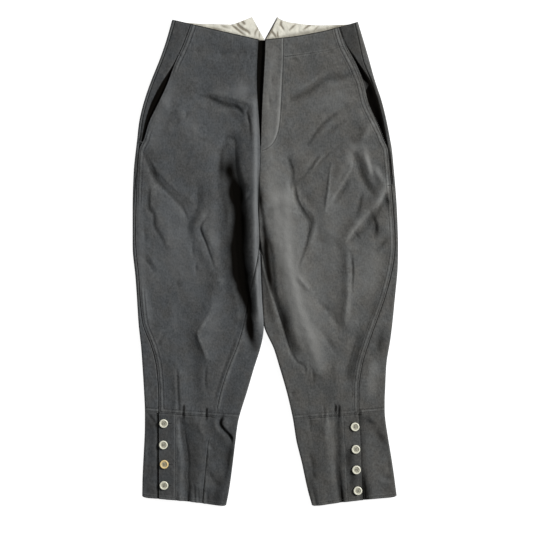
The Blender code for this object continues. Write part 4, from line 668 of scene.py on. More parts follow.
# Ripples, hollows and creases, in millimetres, with shares from 0 to 1
STRIP_CALM = 0.85            # share of the creases that the button strip flattens
CREASE_SHIFT = (-2.8, -1.4)   # a crease's lit or dark flank lies this far from its line
CREASE_REACH = 2.6           # half widths, past which a crease is too faint to work out
ROW_REACH = 8.0              # and the same for a row of stitches, in mm
WAVE_1 = 0.45
WAVE_1_SIZE = 19.0
WAVE_2 = 0.28
WAVE_2_SIZE = 8.0
# How far a hollow lies under its blurred surroundings, or a rise over them, before it starts to be
# painted in shade or highlight, and over what it comes in full
HOLLOW_START = 0.15
HOLLOW_FULL = 1.1
HIGHLIGHT_FULL = 0.9
FAR = 30.0                   # distance given to places with no seam near them
CLOTH = 1.0
BACK_CLOTH = 1.2             # the solids' own wall, which the lining lies on
LINING_CLOTH = 0.8
# Shares of painted shade in the hollows and of painted highlight on the rises
HOLLOW_SHADE = 0.30
HOLLOW_HIGHLIGHT = 0.45
CRISP_WIDTH = 0.4            # share of a crease's half width that its thin line takes
CRISP_HEIGHT = 3.0           # a crease of this height, in mm, shows its line in full
# A crease's thin line: painted shade at a trough's foot, painted highlight on a ridge's crest
CRISP_SHADE = 0.55
CRISP_HIGHLIGHT = 0.6
# The painted shade of the deep folds is uneven by this share, over spots of this size
DEPTH_UNEVEN = 0.28
DEPTH_UNEVEN_SIZE = 24.0

# Gathers, the button strip and its placket, in millimetres
GATHER = 0.8                 # short upright puckers along the cuff's seam and the hem
GATHER_SIZE = 5.5
GATHER_UPRIGHT = 0.2         # they are five times as long as wide
GATHER_REACH = 11.0
# Painted shade in the gathers' troughs
GATHER_SHADE = 0.5
STRIP_RISE = 0.5             # the strip's facing lifts the cuff's edge
STRIP_STEP = 3.0             # over this width, from this far inside it
STRIP_STEP_START = 1.0
HEM_RISE = 0.5               # and the turned hem lifts its lower edge
HEM_STEP = 2.0               # over this height, from this far past its stitches
HEM_STEP_START = 0.5
PLACKET_SINK = 1.7
PLACKET_RISE_WIDTH = 9.0
# Painted shadow in the placket's gap: its width, and how open each side shows
PLACKET_GAP = 3.2
PLACKET_OPEN = 0.7           # the right one's painted shadow shows it this open all along
PLACKET_SHUT_SHADE = 0.4     # how dark the left one's painted shadow is where it is shut
PLACKET_OPEN_Y = -345.0      # the left one's painted shadow widens below this
PLACKET_OPEN_EASE = 70.0

# Where sewing is lost from sight: how much of it, and the stretch's upper and lower height,
# with the length over which it fades at each
UNSEEN_SEWING = 0.92
UNSEEN_STRETCHES = ((352.0, 224.0, 20.0, 20.0), (115.0, -62.0, 20.0, 20.0))
UNSEEN_CENTRE = 0.6
CENTRE_STRETCH = (212.0, 128.0, 10.0, 24.0)
UNSEEN_RIGHT_INSEAM = 0.8
RIGHT_INSEAM_STRETCH = (-262.0, -325.0, 8.0, 12.0)
UNSEEN_LEFT_INSEAM = 0.9
LEFT_INSEAM_END = (-148.0, 28.0)

# Seams, pockets and fly, in millimetres
SEAM_FADE = 2.5
SEAM_DROP = 0.8              # from the cuff's seam to where its rows are counted from
POCKET_PINCH = 7.5           # the left pocket's painted mouth shadow starts this far out here, where its edge rolls over the mouth
POCKET_PINCH_Y = 319.0
POCKET_PINCH_WIDTH = 7.0
POCKET_PINCH_EDGE = 2.0
POCKET_BULGE = 4.0           # and its stitching runs this much farther in
POCKET_BULGE_KEYS = 5.6      # over this many key rows
POCKET_BULGE_POWER = 0.6
BUTTON_SHADOWS = {"right": 0.4, "left": 1.5}     # painted shadow on the cloth beside each button, on its side away from the light
BUTTON_SHADOW_WIDTH = 2.1
RIM_SHADE = 0.85             # painted shade on the outer fold, which turns away from the light
INSEAM_WELT = 0.8            # the lifted cloth beside the inseam
INSEAM_WELT_AWAY = 4.0
INSEAM_WELT_WIDTH = 2.6
INSEAM_WEAR = 0.9
INSEAM_WEAR_AWAY = 3.0
INSEAM_WEAR_WIDTH = 1.6
BEARER_DROP = 3.4
BEARER_STEP = 1.25           # where the pocket is sewn shut above its mouth
BEARER_OPEN_GAP = 4.0        # a gap this wide shows the bearer at its full drop
BEARER_RISE_WIDTH = 1.2      # it climbs to the leg's face over this, and more where the gap
BEARER_RISE_SHARE = 0.6      # is wide
BEARER_RISE_START = 0.35
LEAST_MOUTH = 0.5
MOUTH_EDGE = 2.2             # the mouth's shadow fades over this
BEARER_WRINKLE = 0.7
BEARER_WRINKLE_SIZE = 13.0
BEARER_WRINKLE_FADE = 6.0
# Painted shade in the bearer's hollows
BEARER_SHADE = 0.6
FLY_EXTRA = 0.6
FLY_UNDER_WAIST = 1.5        # its top lies this far under the waist edge
FLY_WAVE = 0.25
FLY_WAVE_SIZE = 9.0
FLY_WAVE_SEED = 71
# Painted shade over the fly's underlap
FLY_SHADE = 0.9
LINING_COLUMNS = 110
NOTCH_COLUMNS = 22
LINING_ROWS = 34
HOLE_SIDE = 0.95             # from a buttonhole's slit to the middle of its bars
YELLOWED_BUTTON = 2          # third from the top on the right cuff
TWILL_TURN = (6.3, 3.0)      # radians a millimetre across and along, for steep twill lines

# Relief beside the seams, in millimetres
WELT = 0.7                   # the turned allowances lift the front beside the side seam
WELT_WIDTH = 10.0
WELT_EDGE = 3.0
GROOVE = 0.9
GROOVE_WIDTH = 1.1
ROW_DENT = 0.45              # each row of stitches pulls the cloth down
ROW_DENT_WIDTH = 1.5
PUCKER = 0.6
SIDE_PUCKER = 0.5            # shares of it beside the side seam, and beside single rows
ROW_PUCKER = 0.6
PUCKER_LENGTH = 7.0
PUCKER_AWAY = 6.0
PUCKER_WIDTH = 6.5
WEAR_WIDTH = 1.4

# Buttons, in millimetres: a 24-line trouser button
BUTTON_RADIUS = 7.75
BUTTON_HEIGHT = 3.0
BUTTON_SEAT = 0.3
WELL_RADIUS = 5.1
WELL_DEPTH = 0.9
HOLE_RADIUS = 0.95
HOLE_OFFSET = 1.75
HOLE_DEPTH = 1.6
HOLE_WALL = 0.24             # a button's hole goes from rim to bottom over this
BUTTON_ROUND = 0.7           # radius of its edge, seen from above
BUTTON_BELLY = 0.55          # height of the middle of its edge, as a share of the whole
BUTTON_BULGE = 0.41          # and how far the edge reaches over and under that
BUTTON_CROWN = 0.12
CROWN_RADIUS = 6.3           # the rim falls away outside this
CROWN_WIDTH = 1.2
WELL_EDGE = 1.1
BUTTON_MIDDLE = 0.12         # radius of its innermost ring
BUTTON_TURN = 0.12           # radians from each button to the next
BUTTON_RINGS = 42
BUTTON_SPOKES = 72
BUTTON_THREAD = 0.55

# Camera and lights, in metres, degrees and watts
CAMERA_X = 0.00216
CAMERA_Y = -0.00882
FRAME_WIDTH = 0.9594         # width of the photograph at the cloth
CLOTH_Z = 0.008
LENS_MM = 85.0
SENSOR_MM = 36.0
FLOOR_SIZE = 8.0
FLOOR_DROP = 0.0004
FLOOR_GLOW = 0.9             # the board is lit from below too, which thins the shadows


def settings():
    """The sizes and colours that a user may change."""
    return bpy.context.scene.jodhpurs_cloth


def smooth(t):
    """Ease from 0 to 1 with flat ends: 3t^2 - 2t^3."""
    t = np.clip(t, 0.0, 1.0)
    return t * t * (3.0 - 2.0 * t)


def between_rows(values):
    """Put one value between each pair, on a curve that never passes outside the pair: nine
    sixteenths of the two neighbours less a sixteenth of the two beyond."""
    keys = np.asarray(values, dtype=float)
    before = np.concatenate((keys[:1], keys[:-2]))
    after = np.concatenate((keys[2:], keys[-1:]))
    middle = (9.0 * (keys[:-1] + keys[1:]) - before - after) / 16.0
    fine = np.empty(2 * len(keys) - 1)
    fine[0::2] = keys
    fine[1::2] = np.clip(middle, np.minimum(keys[:-1], keys[1:]), np.maximum(keys[:-1], keys[1:]))
    return fine


def doubled(values, times=DOUBLINGS):
    """The rows halved several times, by between_rows."""
    for _ in range(times):
        values = between_rows(values)
    return np.asarray(values, dtype=float)


def smooth_line(places, times=2):
    """A polyline of any number of columns, halved by the four-point rule without its limits."""
    line = np.asarray(places, dtype=float)
    if len(line) < 3:
        return np.array([line[0] + (line[-1] - line[0]) * t for t in np.linspace(0, 1, 5)])
    for _ in range(times):
        before = np.concatenate((2 * line[:1] - line[1:2], line[:-2]))
        after = np.concatenate((line[2:], 2 * line[-1:] - line[-2:-1]))
        fine = np.empty((2 * len(line) - 1, line.shape[1]))
        fine[0::2] = line
        fine[1::2] = (9.0 * (line[:-1] + line[1:]) - before - after) / 16.0
        line = fine
    return line


def to_line(x, y, line):
    """From each place to the nearest point of a line: the distance, positive on the left hand
    of its way, and the line's third column there."""
    nearest = np.full(np.broadcast(x, y).shape, 1e6)
    sign = np.ones_like(nearest)
    value = np.zeros_like(nearest)
    third = line[:, 2] if line.shape[1] > 2 else np.zeros(len(line))
    for i in range(len(line) - 1):
        bx, by = line[i + 1, :2] - line[i, :2]
        length = math.hypot(bx, by)
        dx, dy = x - line[i, 0], y - line[i, 1]
        share = np.clip((dx * bx + dy * by) / length**2, 0.0, 1.0)
        away = np.hypot(dx - share * bx, dy - share * by)
        closer = away < nearest
        nearest = np.where(closer, away, nearest)
        sign = np.where(closer, np.sign(bx * dy - by * dx), sign)
        value = np.where(closer, third[i] + (third[i + 1] - third[i]) * share, value)
    return nearest * sign, value


def near_line(x, y, line, reach):
    """Which places lie in a line's own box, widened by the reach."""
    low, high = line[:, :2].min(axis=0) - reach, line[:, :2].max(axis=0) + reach
    return (x > low[0]) & (x < high[0]) & (y > low[1]) & (y < high[1])


def crease_sum(creases, x, y, shift=(0.0, 0.0), width_share=1.0):
    """Sum over the creases of height times exp(-(d / w)^2), where d is the distance to the
    crease's line, moved by the shift, and w its half width on that side, or a share of it. Only
    places near a crease are worked out."""
    x, y = np.broadcast_arrays(x - shift[0], y - shift[1])
    total = np.zeros(x.shape)
    for _name, left, right, places in creases:
        line = smooth_line(places)
        near = near_line(x, y, line, CREASE_REACH * max(left, right))
        if near.any():
            away, height = to_line(x[near], y[near], line)
            width = np.where(away > 0.0, left, right) * width_share
            total[near] += height * np.exp(-((away / width) ** 2))
    return total


def fold_sum(folds, x, y):
    """Sum of the largest folds: each a bell of its half width across its own line."""
    total = np.zeros(np.broadcast(x, y).shape)
    for _name, height, half_width, places in folds:
        away, _height = to_line(x, y, np.asarray(places, dtype=float))
        total += height * np.exp(-((away / half_width) ** 2))
    return total


def ripple(x, y, size, seed):
    """Soft noise from -1 to 1: random values on a square lattice of the given size, eased
    between its points. The lattice repeats after 64 squares."""
    values = np.random.default_rng(seed).uniform(-1.0, 1.0, (64, 64))
    u, v = np.asarray(x) / size + 1000.0, np.asarray(y) / size + 1000.0
    i, j = np.floor(u).astype(int), np.floor(v).astype(int)
    s, t = smooth(u - i), smooth(v - j)
    i0, j0, i1, j1 = i % 64, j % 64, (i + 1) % 64, (j + 1) % 64
    low = values[i0, j0] * (1 - s) + values[i1, j0] * s
    high = values[i0, j1] * (1 - s) + values[i1, j1] * s
    return low * (1 - t) + high * t


def welt(away):
    """Relief beside a stitched seam, by the distance from it: the allowances lift the cloth,
    the seam itself and each row of stitches pull it down."""
    rise = WELT * (1.0 - smooth((away - WELT_WIDTH) / WELT_EDGE))
    for row in SEAM_STITCH:
        rise = rise - ROW_DENT * np.exp(-(((away - row) / ROW_DENT_WIDTH) ** 2))
    return rise - groove(away)


def groove(away):
    """Depth to which a seam pulls the cloth down: a bell across it."""
    return GROOVE * np.exp(-((away / GROOVE_WIDTH) ** 2))


def within(y, high, low, high_ease, low_ease):
    """1 between two heights, easing to 0 at each."""
    return smooth((high - y) / high_ease) * smooth((y - low) / low_ease)


def pucker(x, y, away, seed):
    """Short puckers along a stitched seam: soft noise in a band round its rows."""
    band = np.exp(-(((away - PUCKER_AWAY) / PUCKER_WIDTH) ** 2))
    return PUCKER * band * ripple(x, y, PUCKER_LENGTH, seed)


class Leg:
    """One half of the garment, as fine rows of flattened rings."""

    def __init__(self, name, out, rows, mouth, gap, folds, creases, depths, tones, under,
                 back_edge, dip, buttons, seed):
        self.name = name
        self.out = out
        self.folds = folds
        self.creases = creases
        self.depths = depths
        self.tones = tones
        self.under = under
        self.back_edge = np.array(sorted(back_edge))
        self.buttons = buttons
        self.seed = seed
        self.notch_inset = LEFT_NOTCH_INSET if out > 0.0 else LINING_EDGE_INSET
        table = {column: doubled(values) for column, values in zip(ROW_COLUMNS, zip(*rows))}
        lift = between_rows([row[ROW_COLUMNS.index("lift")] for row in rows])
        table["lift"] = doubled(lift**2, DOUBLINGS - 1)
        self.count = len(table["outer_x"])
        index = np.arange(self.count)
        table["outer_fold"] = table["outer_x"] - out * FOLD_REACH
        table["inner_fold"] = table["inner_x"] + out * FOLD_REACH
        limit = out * table["outer_fold"] - SEAM_MARGIN
        for column in ("side_x", "front_x"):
            table[column] = out * np.minimum(out * table[column], limit)
        table["front_x"][POCKET_END:] = table["side_x"][POCKET_END:]
        table["waist"] = np.clip(1.0 - index / BACK_EDGE_FADE, 0.0, 1.0)
        table["dip"] = dip * table["waist"]
        table["mouth"] = np.zeros(self.count)
        table["mouth"][: POCKET_END + 1] = doubled(mouth)
        table["gap"] = np.zeros(self.count)
        table["gap"][: POCKET_END + 1] = doubled(gap)
        table["hem"] = smooth((index - (self.count - 1 - HEM_ROWS)) / HEM_ROWS)
        self.rows = table

    def part(self, first, last):
        """Rows first to last, as upright arrays that fit a grid."""
        return {key: values[first:last + 1, None] for key, values in self.rows.items()}

    def at(self, x, y):
        """Row values at loose places, read between the two rows that each lies between."""
        x, y = np.asarray(x, dtype=float), np.asarray(y, dtype=float)
        rows_y = self.line_y(self.part(0, self.count - 1), x[None, :])
        above = np.clip((rows_y > y).sum(axis=0) - 1, 0, self.count - 2)
        places = np.arange(len(x))
        high, low = rows_y[above, places], rows_y[above + 1, places]
        index = above + np.clip((high - y) / (high - low), 0.0, 1.0)
        rows = np.arange(self.count)
        return {key: np.interp(index, rows, values) for key, values in self.rows.items()}

    def line_y(self, r, x):
        """A row is a sloping line from the outer to the inner edge, bowed at the waist and at
        the hem, and turned up at the hem's two corners."""
        share = (x - r["outer_x"]) / (r["inner_x"] - r["outer_x"])
        arch = np.sin(math.pi * np.clip(share, 0.0, 1.0))
        to_edge = np.minimum(np.abs(x - r["outer_x"]), np.abs(x - r["inner_x"]))
        hem = HEM_BOW * arch + HEM_CORNER * np.exp(-to_edge / HEM_CORNER_WIDTH)
        plain = r["outer_y"] + (r["inner_y"] - r["outer_y"]) * share
        return plain - r["dip"] * arch + r["hem"] * hem

    def back_y(self, r, x):
        """The back's rows rise to the fishtail's own edge towards the waist."""
        share = np.clip((x - r["outer_x"]) / (r["inner_x"] - r["outer_x"]), 0.0, 1.0)
        level = self.line_y(r, x) + r["dip"] * np.sin(math.pi * share)
        return level + r["waist"] * (self.fishtail_y(x) - self.waist_y(x))

    def fishtail_y(self, x):
        """The back's own waist edge."""
        return np.interp(x, self.back_edge[:, 0], self.back_edge[:, 1])

    def waist_y(self, x):
        """The front's waist edge before it is bowed: a straight line."""
        first = self.part(0, 0)
        share = (x - first["outer_x"]) / (first["inner_x"] - first["outer_x"])
        return first["outer_y"] + (first["inner_y"] - first["outer_y"]) * share

    def height(self, r, x, y):
        """Upper face: the edges' heights, the raised inner edge, the folds, creases and ripples."""
        inner = np.abs(x - r["inner_x"])
        outer = np.abs(x - r["outer_x"])
        base = r["edge"] + (r["ridge"] - r["edge"]) * np.exp(-((inner / RIDGE_REACH) ** 2))
        past_side = self.out * (r["side_x"] - x)
        strip = 1.0 - smooth((past_side - STRIP_WIDTH) / STRIP_FADE)
        strip = strip * smooth((CUFF_TOP_Y - y) / CUFF_FADE)
        lift = r["lift"]
        calm = smooth((outer - FOLD_REACH) / EDGE_CALM)
        calm = calm * (1.0 - lift + lift * smooth((inner - FOLD_REACH) / EDGE_CALM))
        near = smooth((outer - FOLD_REACH) / CREASE_CALM)
        near = near * (1.0 - lift + lift * smooth((inner - FOLD_REACH) / CREASE_CALM))
        large = calm * (1.0 - strip) * fold_sum(self.folds, x, y)
        fine = near * (1.0 - STRIP_CALM * strip * (past_side > 0.0)) * settings().crease_amount
        fine = fine * crease_sum(self.creases, x, y, CREASE_SHIFT)
        waves = WAVE_1 * ripple(x, y, WAVE_1_SIZE, self.seed)
        waves = waves + WAVE_2 * ripple(x, y, WAVE_2_SIZE, self.seed + 1)
        return np.maximum(base + large + fine + near * waves, LOWEST_TOP)

    def depth(self, x, y):
        """Painted shade of the deepest folds, seams and gaps, and beside the buttons, from 0 to 1, with
        uneven sides.
        """
        uneven = 1.0 + DEPTH_UNEVEN * ripple(x, y, DEPTH_UNEVEN_SIZE, self.seed + 7)
        dark = crease_sum(self.depths, x, y) * uneven
        # A painted shadow beside each button, on its side away from the light
        for button_x, button_y in self.buttons:
            away = np.hypot(x - button_x, y - button_y) - BUTTON_RADIUS
            side = np.clip((button_x - x) / BUTTON_RADIUS, 0.0, 1.0)
            dark = dark + BUTTON_SHADOWS[self.name] * side * np.exp(-((away / BUTTON_SHADOW_WIDTH) ** 2))
        return np.clip(dark, 0.0, 1.0)

    def tone(self, x, y):
        """How pale the cloth is, above 0, or how dark, below it: its patches of painted highlight and
        painted shade, partly standing for fading, soft clouds, and the darker shin and cuff."""
        low = SHIN_TONES[self.name] * smooth((SHIN_Y - y) / SHIN_FADE)
        low = low + CUFF_TONES[self.name] * smooth((CUFF_TOP_Y - y) / CUFF_TONE_FADE)
        small = SMALL_CLOUD * ripple(x, y, SMALL_CLOUD_SIZE * CLOUD_SIZE, self.seed + 12)
        clouds = CLOUD * (ripple(x, y, CLOUD_SIZE, self.seed + 10) + small)
        return np.clip(crease_sum(self.tones, x, y) + low + clouds, -1.0, 1.0)

    def marks(self, x, y, z, rows=3, columns=4):
        """What the finish reads over a face: its painted shade, its wear and painted highlight, and its
        tone.
        """
        hollow, worn = hollows(z, rows, columns)
        dark_line, pale_line = self.crisp(x, y)
        dark = np.maximum(np.maximum(HOLLOW_SHADE * hollow, dark_line), self.depth(x, y))
        return dark, np.maximum(HOLLOW_HIGHLIGHT * worn, pale_line), self.tone(x, y)

    def crisp(self, x, y):
        """Painted shade as a thin dark line at the foot of a trough, and painted highlight as a thin
        pale one along a ridge.
        """
        line = crease_sum(self.creases, x, y, CREASE_SHIFT, CRISP_WIDTH) / CRISP_HEIGHT
        return np.clip(-line, 0.0, 1.0) * CRISP_SHADE, np.clip(line, 0.0, 1.0) * CRISP_HIGHLIGHT

    def surface(self, x, y, away=None):
        """Height of the finished face at loose places, beside a seam if a distance is given."""
        z = self.height(self.at(x, y), x, y)
        if away is not None:
            z = z + welt(away) + pucker(x, y, away, self.seed + 2)
        return z

    def sewn(self, y):
        """How plainly the outer sewing shows: it is hardly seen at the right pocket's mouth
        and along the right thigh."""
        unseen = 0.0 * y
        for stretch in UNSEEN_STRETCHES:
            unseen = unseen + (self.out < 0.0) * within(y, *stretch)
        return 1.0 - UNSEEN_SEWING * unseen

    def inseam(self, y):
        """How plainly the inseam shows: the left one is lost below the knee and the right one
        at the top of the cuff."""
        shown = 1.0 - UNSEEN_CENTRE * within(y, *CENTRE_STRETCH)
        if self.out > 0.0:
            start, ease = LEFT_INSEAM_END
            return shown - UNSEEN_LEFT_INSEAM * smooth((start - y) / ease)
        return shown - UNSEEN_RIGHT_INSEAM * within(y, *RIGHT_INSEAM_STRETCH)

    def column_line(self, column, first, last, step=4):
        """The line that one of the table's columns makes down the leg."""
        rows = self.part(first, last)
        x = rows[column]
        return np.concatenate((x, self.line_y(rows, x)), axis=1)[::step]


def make_legs():
    """Both legs, from their tables."""
    right = Leg("right", -1.0, RIGHT_ROWS, RIGHT_MOUTH, RIGHT_GAP, RIGHT_FOLDS, RIGHT_CREASES,
                RIGHT_PAINTED_SHADE, RIGHT_FADE_AND_LIGHT, RIGHT_UNDER, RIGHT_BACK_EDGE, RIGHT_WAIST_DIP,
                RIGHT_BUTTONS, 11)
    left = Leg("left", 1.0, LEFT_ROWS, LEFT_MOUTH, LEFT_GAP, LEFT_FOLDS, LEFT_CREASES,
               LEFT_PAINTED_SHADE, LEFT_FADE_AND_LIGHT, LEFT_UNDER, LEFT_BACK_EDGE, LEFT_WAIST_DIP,
               LEFT_BUTTONS, 31)
    return right, left


def arc(points, axis):
    """Length along a grid's rows or columns, from their first points."""
    steps = np.linalg.norm(np.diff(points, axis=axis), axis=-1)
    pad = [(0, 0), (0, 0)]
    pad[axis] = (1, 0)
    return np.cumsum(np.pad(steps, pad), axis=axis)


def blur(z, rows, columns):
    """Mean over a box of places round each, with the grid's edges repeated outwards."""
    for axis, reach in ((0, rows), (1, columns)):
        pad = [(0, 0), (0, 0)]
        pad[axis] = (reach + 1, reach)
        total = np.cumsum(np.pad(z, pad, mode="edge"), axis=axis)
        length = z.shape[axis]
        late = np.take(total, np.arange(2 * reach + 1, 2 * reach + 1 + length), axis=axis)
        early = np.take(total, np.arange(length), axis=axis)
        z = (late - early) / (2 * reach + 1)
    return z


def hollows(z, rows=3, columns=4):
    """Where the cloth is hollow and where it stands up: the height less its own blur."""
    rise = z - blur(blur(z, rows, columns), rows, columns)
    return smooth((-rise - HOLLOW_START) / HOLLOW_FULL), smooth((rise - HOLLOW_START) / HIGHLIGHT_FULL)


def unit(vectors):
    """Vectors scaled to length one."""
    return vectors / np.maximum(np.linalg.norm(vectors, axis=-1, keepdims=True), 1e-9)


def clothed(points, side, thickness):
    """The inner face of a wall: the outer one moved in along its normals, which are the cross
    product of the ways along the rows and down the columns."""
    way = np.gradient(points, axis=1)
    down = np.gradient(points, axis=0)
    return points - unit(np.cross(way, down)) * -side * thickness


def link(piece):
    """Put a finished piece into the scene, riding on the garment."""
    bpy.context.scene.collection.objects.link(piece)
    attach(piece, BODY)
    return piece


def wall(name, outer, inner, finish, facts):
    """A closed wall between two grids of places in millimetres. Facts are values at each place
    of the outer grid, which the finish reads as attributes. UV is the length along the cloth."""
    rows, columns = outer.shape[:2]
    count = rows * columns
    points = np.concatenate((outer.reshape(-1, 3), inner.reshape(-1, 3))) * MM
    index = np.arange(count).reshape(rows, columns)
    quads = np.stack((index[:-1, :-1], index[1:, :-1], index[1:, 1:], index[:-1, 1:]), axis=-1)
    quads = quads.reshape(-1, 4)
    loop = np.concatenate((index[0], index[1:, -1], index[-1, -2::-1], index[-2:0:-1, 0]))
    after = np.roll(loop, -1)
    rim = np.stack((loop, after, after + count, loop + count), axis=-1)
    faces = np.concatenate((quads, quads[:, ::-1] + count, rim))
    if signed_volume(points, faces) < 0.0:
        faces = faces[:, ::-1]
    name = name + "_cloth"
    mesh = new_mesh(name, points, faces)
    mesh.set_sharp_from_angle(angle=math.radians(60.0))
    u, v = arc(outer, 1), arc(outer, 0)
    uv = np.stack((u - u.mean(axis=1, keepdims=True), -v), axis=-1).reshape(-1, 2) * MM
    uv = np.concatenate((uv, uv))
    corners = np.empty(len(mesh.loops), dtype=np.int32)
    mesh.loops.foreach_get("vertex_index", corners)
    layer = mesh.uv_layers.new(name="cloth")
    layer.data.foreach_set("uv", uv[corners].astype(np.float32).ravel())
    for fact, values in facts.items():
        flat = np.broadcast_to(values, (rows, columns)).astype(np.float32).ravel()
        store = mesh.attributes.new(fact, "FLOAT", "POINT")
        store.data.foreach_set("value", np.concatenate((flat, flat)))
    mesh.materials.append(finish)
    return link(bpy.data.objects.new(name, mesh))


def new_mesh(name, points, faces):
    """A smooth-shaded mesh from arrays of points and of faces with the same corner count."""
    mesh = bpy.data.meshes.new(name)
    sides = faces.shape[1]
    mesh.vertices.add(len(points))
    mesh.vertices.foreach_set("co", np.asarray(points, dtype=np.float32).ravel())
    mesh.loops.add(faces.size)
    mesh.loops.foreach_set("vertex_index", np.ascontiguousarray(faces, dtype=np.int32).ravel())
    mesh.polygons.add(len(faces))
    mesh.polygons.foreach_set("loop_start", np.arange(0, faces.size, sides, dtype=np.int32))
    mesh.update(calc_edges=True)
    mesh.validate()
    mesh.shade_smooth()
    return mesh


def signed_volume(points, faces):
    """Volume inside four-sided faces, negative when they point inwards."""
    a, b, c, d = (points[faces[:, corner]] for corner in range(4))
    first = np.einsum("ij,ij->i", a, np.cross(b, c)).sum()
    return (first + np.einsum("ij,ij->i", a, np.cross(c, d)).sum()) / 6.0


def sew_on(name, outer, inner, finish, facts):
    """Make a cloth piece in place of the solid of that name, and hide that solid."""
    piece = wall(name, outer, inner, finish, facts)
    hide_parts(name)


def joined(*grids):
    """Grids side by side, as longer rows."""
    return np.concatenate(grids, axis=1)


def lean(x, y):
    """Cosine of the slope of an edge that runs down a grid: it turns distances along the rows
    into distances from the edge."""
    dx, dy = np.gradient(x), np.gradient(y)
    return (np.abs(dy) / np.hypot(dx, dy))[:, None]


def to_rows(x, y, lines):
    """Distance to the nearest of some single rows of stitches."""
    nearest = np.full(np.broadcast(x, y).shape, FAR)
    for line in lines:
        line = np.asarray(line, dtype=float)
        near = near_line(x, y, line, ROW_REACH)
        if near.any():
            away, _height = to_line(x[near], y[near], smooth_line(line))
            nearest[near] = np.minimum(nearest[near], np.abs(away))
    return nearest


def pocket_shift(leg, first, last):
    """How much farther in than usual the left pocket's stitching runs, for each row."""
    index = np.arange(first, last + 1)[:, None]
    if leg.out < 0.0:
        return np.zeros(index.shape)
    share = np.clip(index / (POCKET_BULGE_KEYS * KEY_STEP), 0.0, 1.0)
    return POCKET_BULGE * np.sin(math.pi * share) ** POCKET_BULGE_POWER


def make_front(leg, finish, first, last, columns, name):
    """Front of the leg, or of its cuff, between two rows: a grid from its inner edge to its
    outer edge, on the leg's upper face, with its seams, pocket edge and facings in relief."""
    cuff = first >= CUFF_ROW
    r = leg.part(first, last)
    share = np.linspace(0.0, 1.0, columns + 1)[None, :]
    x = r["seam_x"] + (r["front_x"] - r["seam_x"]) * share
    y = leg.line_y(r, x)
    flat = np.stack((x, y, np.zeros_like(x)), axis=-1)
    u, v = arc(flat, 1), arc(flat, 0)
    outer = (u[:, -1:] - u) * lean(x[:, -1], y[:, -1])
    inner = u * lean(x[:, 0], y[:, 0])
    below = v[-1:] - v
    z = leg.height(r, x, y)
    dark, worn, tone = leg.marks(x, y, z)
    if cuff:
        twin = np.full(x.shape, FAR)
        z = z + STRIP_RISE * (1.0 - smooth((outer - STRIP_WIDTH + STRIP_STEP_START) / STRIP_STEP))
        z = z + HEM_RISE * (1.0 - smooth((below - HEM_STITCH - HEM_STEP_START) / HEM_STEP))
        z = z - groove(v) - leg.inseam(y) * groove(inner)
        strip = RIGHT_STRIP_LINE if leg.out < 0.0 else LEFT_STRIP_LINE
        row = np.minimum(to_rows(x, y, (strip,)), np.abs(below - HEM_STITCH))
    else:
        twin = np.minimum(outer - pocket_shift(leg, first, last), below + SEAM_DROP)
        seam = np.where(np.arange(len(x))[:, None] < FLY_END, FAR, inner)
        z = z + leg.sewn(y) * (welt(twin) + pucker(x, y, twin, leg.seed + 2))
        z = z - leg.inseam(y) * groove(seam)
        lines = () if leg.out < 0.0 else (LEFT_FACING_LINE, FLY_LINE)
        row = to_rows(x, y, lines)
    z = z - ROW_DENT * np.exp(-((row / ROW_DENT_WIDTH) ** 2))
    z = z + ROW_PUCKER * pucker(x, y, row + PUCKER_AWAY, leg.seed + 3)
    gather = gathers(leg, x, y, v if cuff else below) + cuff * gathers(leg, x, y, below)
    z = z + GATHER * gather
    points = np.stack((x, y, z), axis=-1)
    # Edge drives a dark line in the finish: painted shadow along the free edges and a dark joint at the
    # seams, weaker at the cuff's seam
    edge = np.minimum(outer, inner + SEAM_FADE * (1.0 - leg.inseam(y)))
    level = (0.5 + 0.6 * v, below) if cuff else (0.5 * v, below + 0.5)
    edge = np.minimum(edge, np.minimum(*level))
    # Shade here is painted shade: the folds, creases and the gathers' troughs
    facts = {"twin": twin, "row": row, "edge": edge, "worn": worn, "tone": tone,
             "shade": np.maximum(dark, GATHER_SHADE * np.clip(-gather, 0.0, 1.0)),
             "sewn": leg.sewn(y)}
    sew_on(name, points, clothed(points, leg.out, CLOTH), finish, facts)


def gathers(leg, x, y, away):
    """Short upright puckers along a level seam, from -1 to 1: noise that hardly changes up the
    leg, in a band beside the seam."""
    band = np.exp(-((away / GATHER_REACH) ** 2))
    return band * ripple(x, GATHER_UPRIGHT * y, GATHER_SIZE, leg.seed + 5)


def folded_edge(leg, r, centre_x, reach, angles):
    """Half an ellipse from the surface up to the upper face, open towards the panel."""
    half = leg.height(r, centre_x, leg.line_y(r, centre_x)) / 2.0
    x = centre_x + reach * np.cos(angles)
    return np.stack((x, leg.line_y(r, x), half * (1.0 + np.sin(angles))), axis=-1)


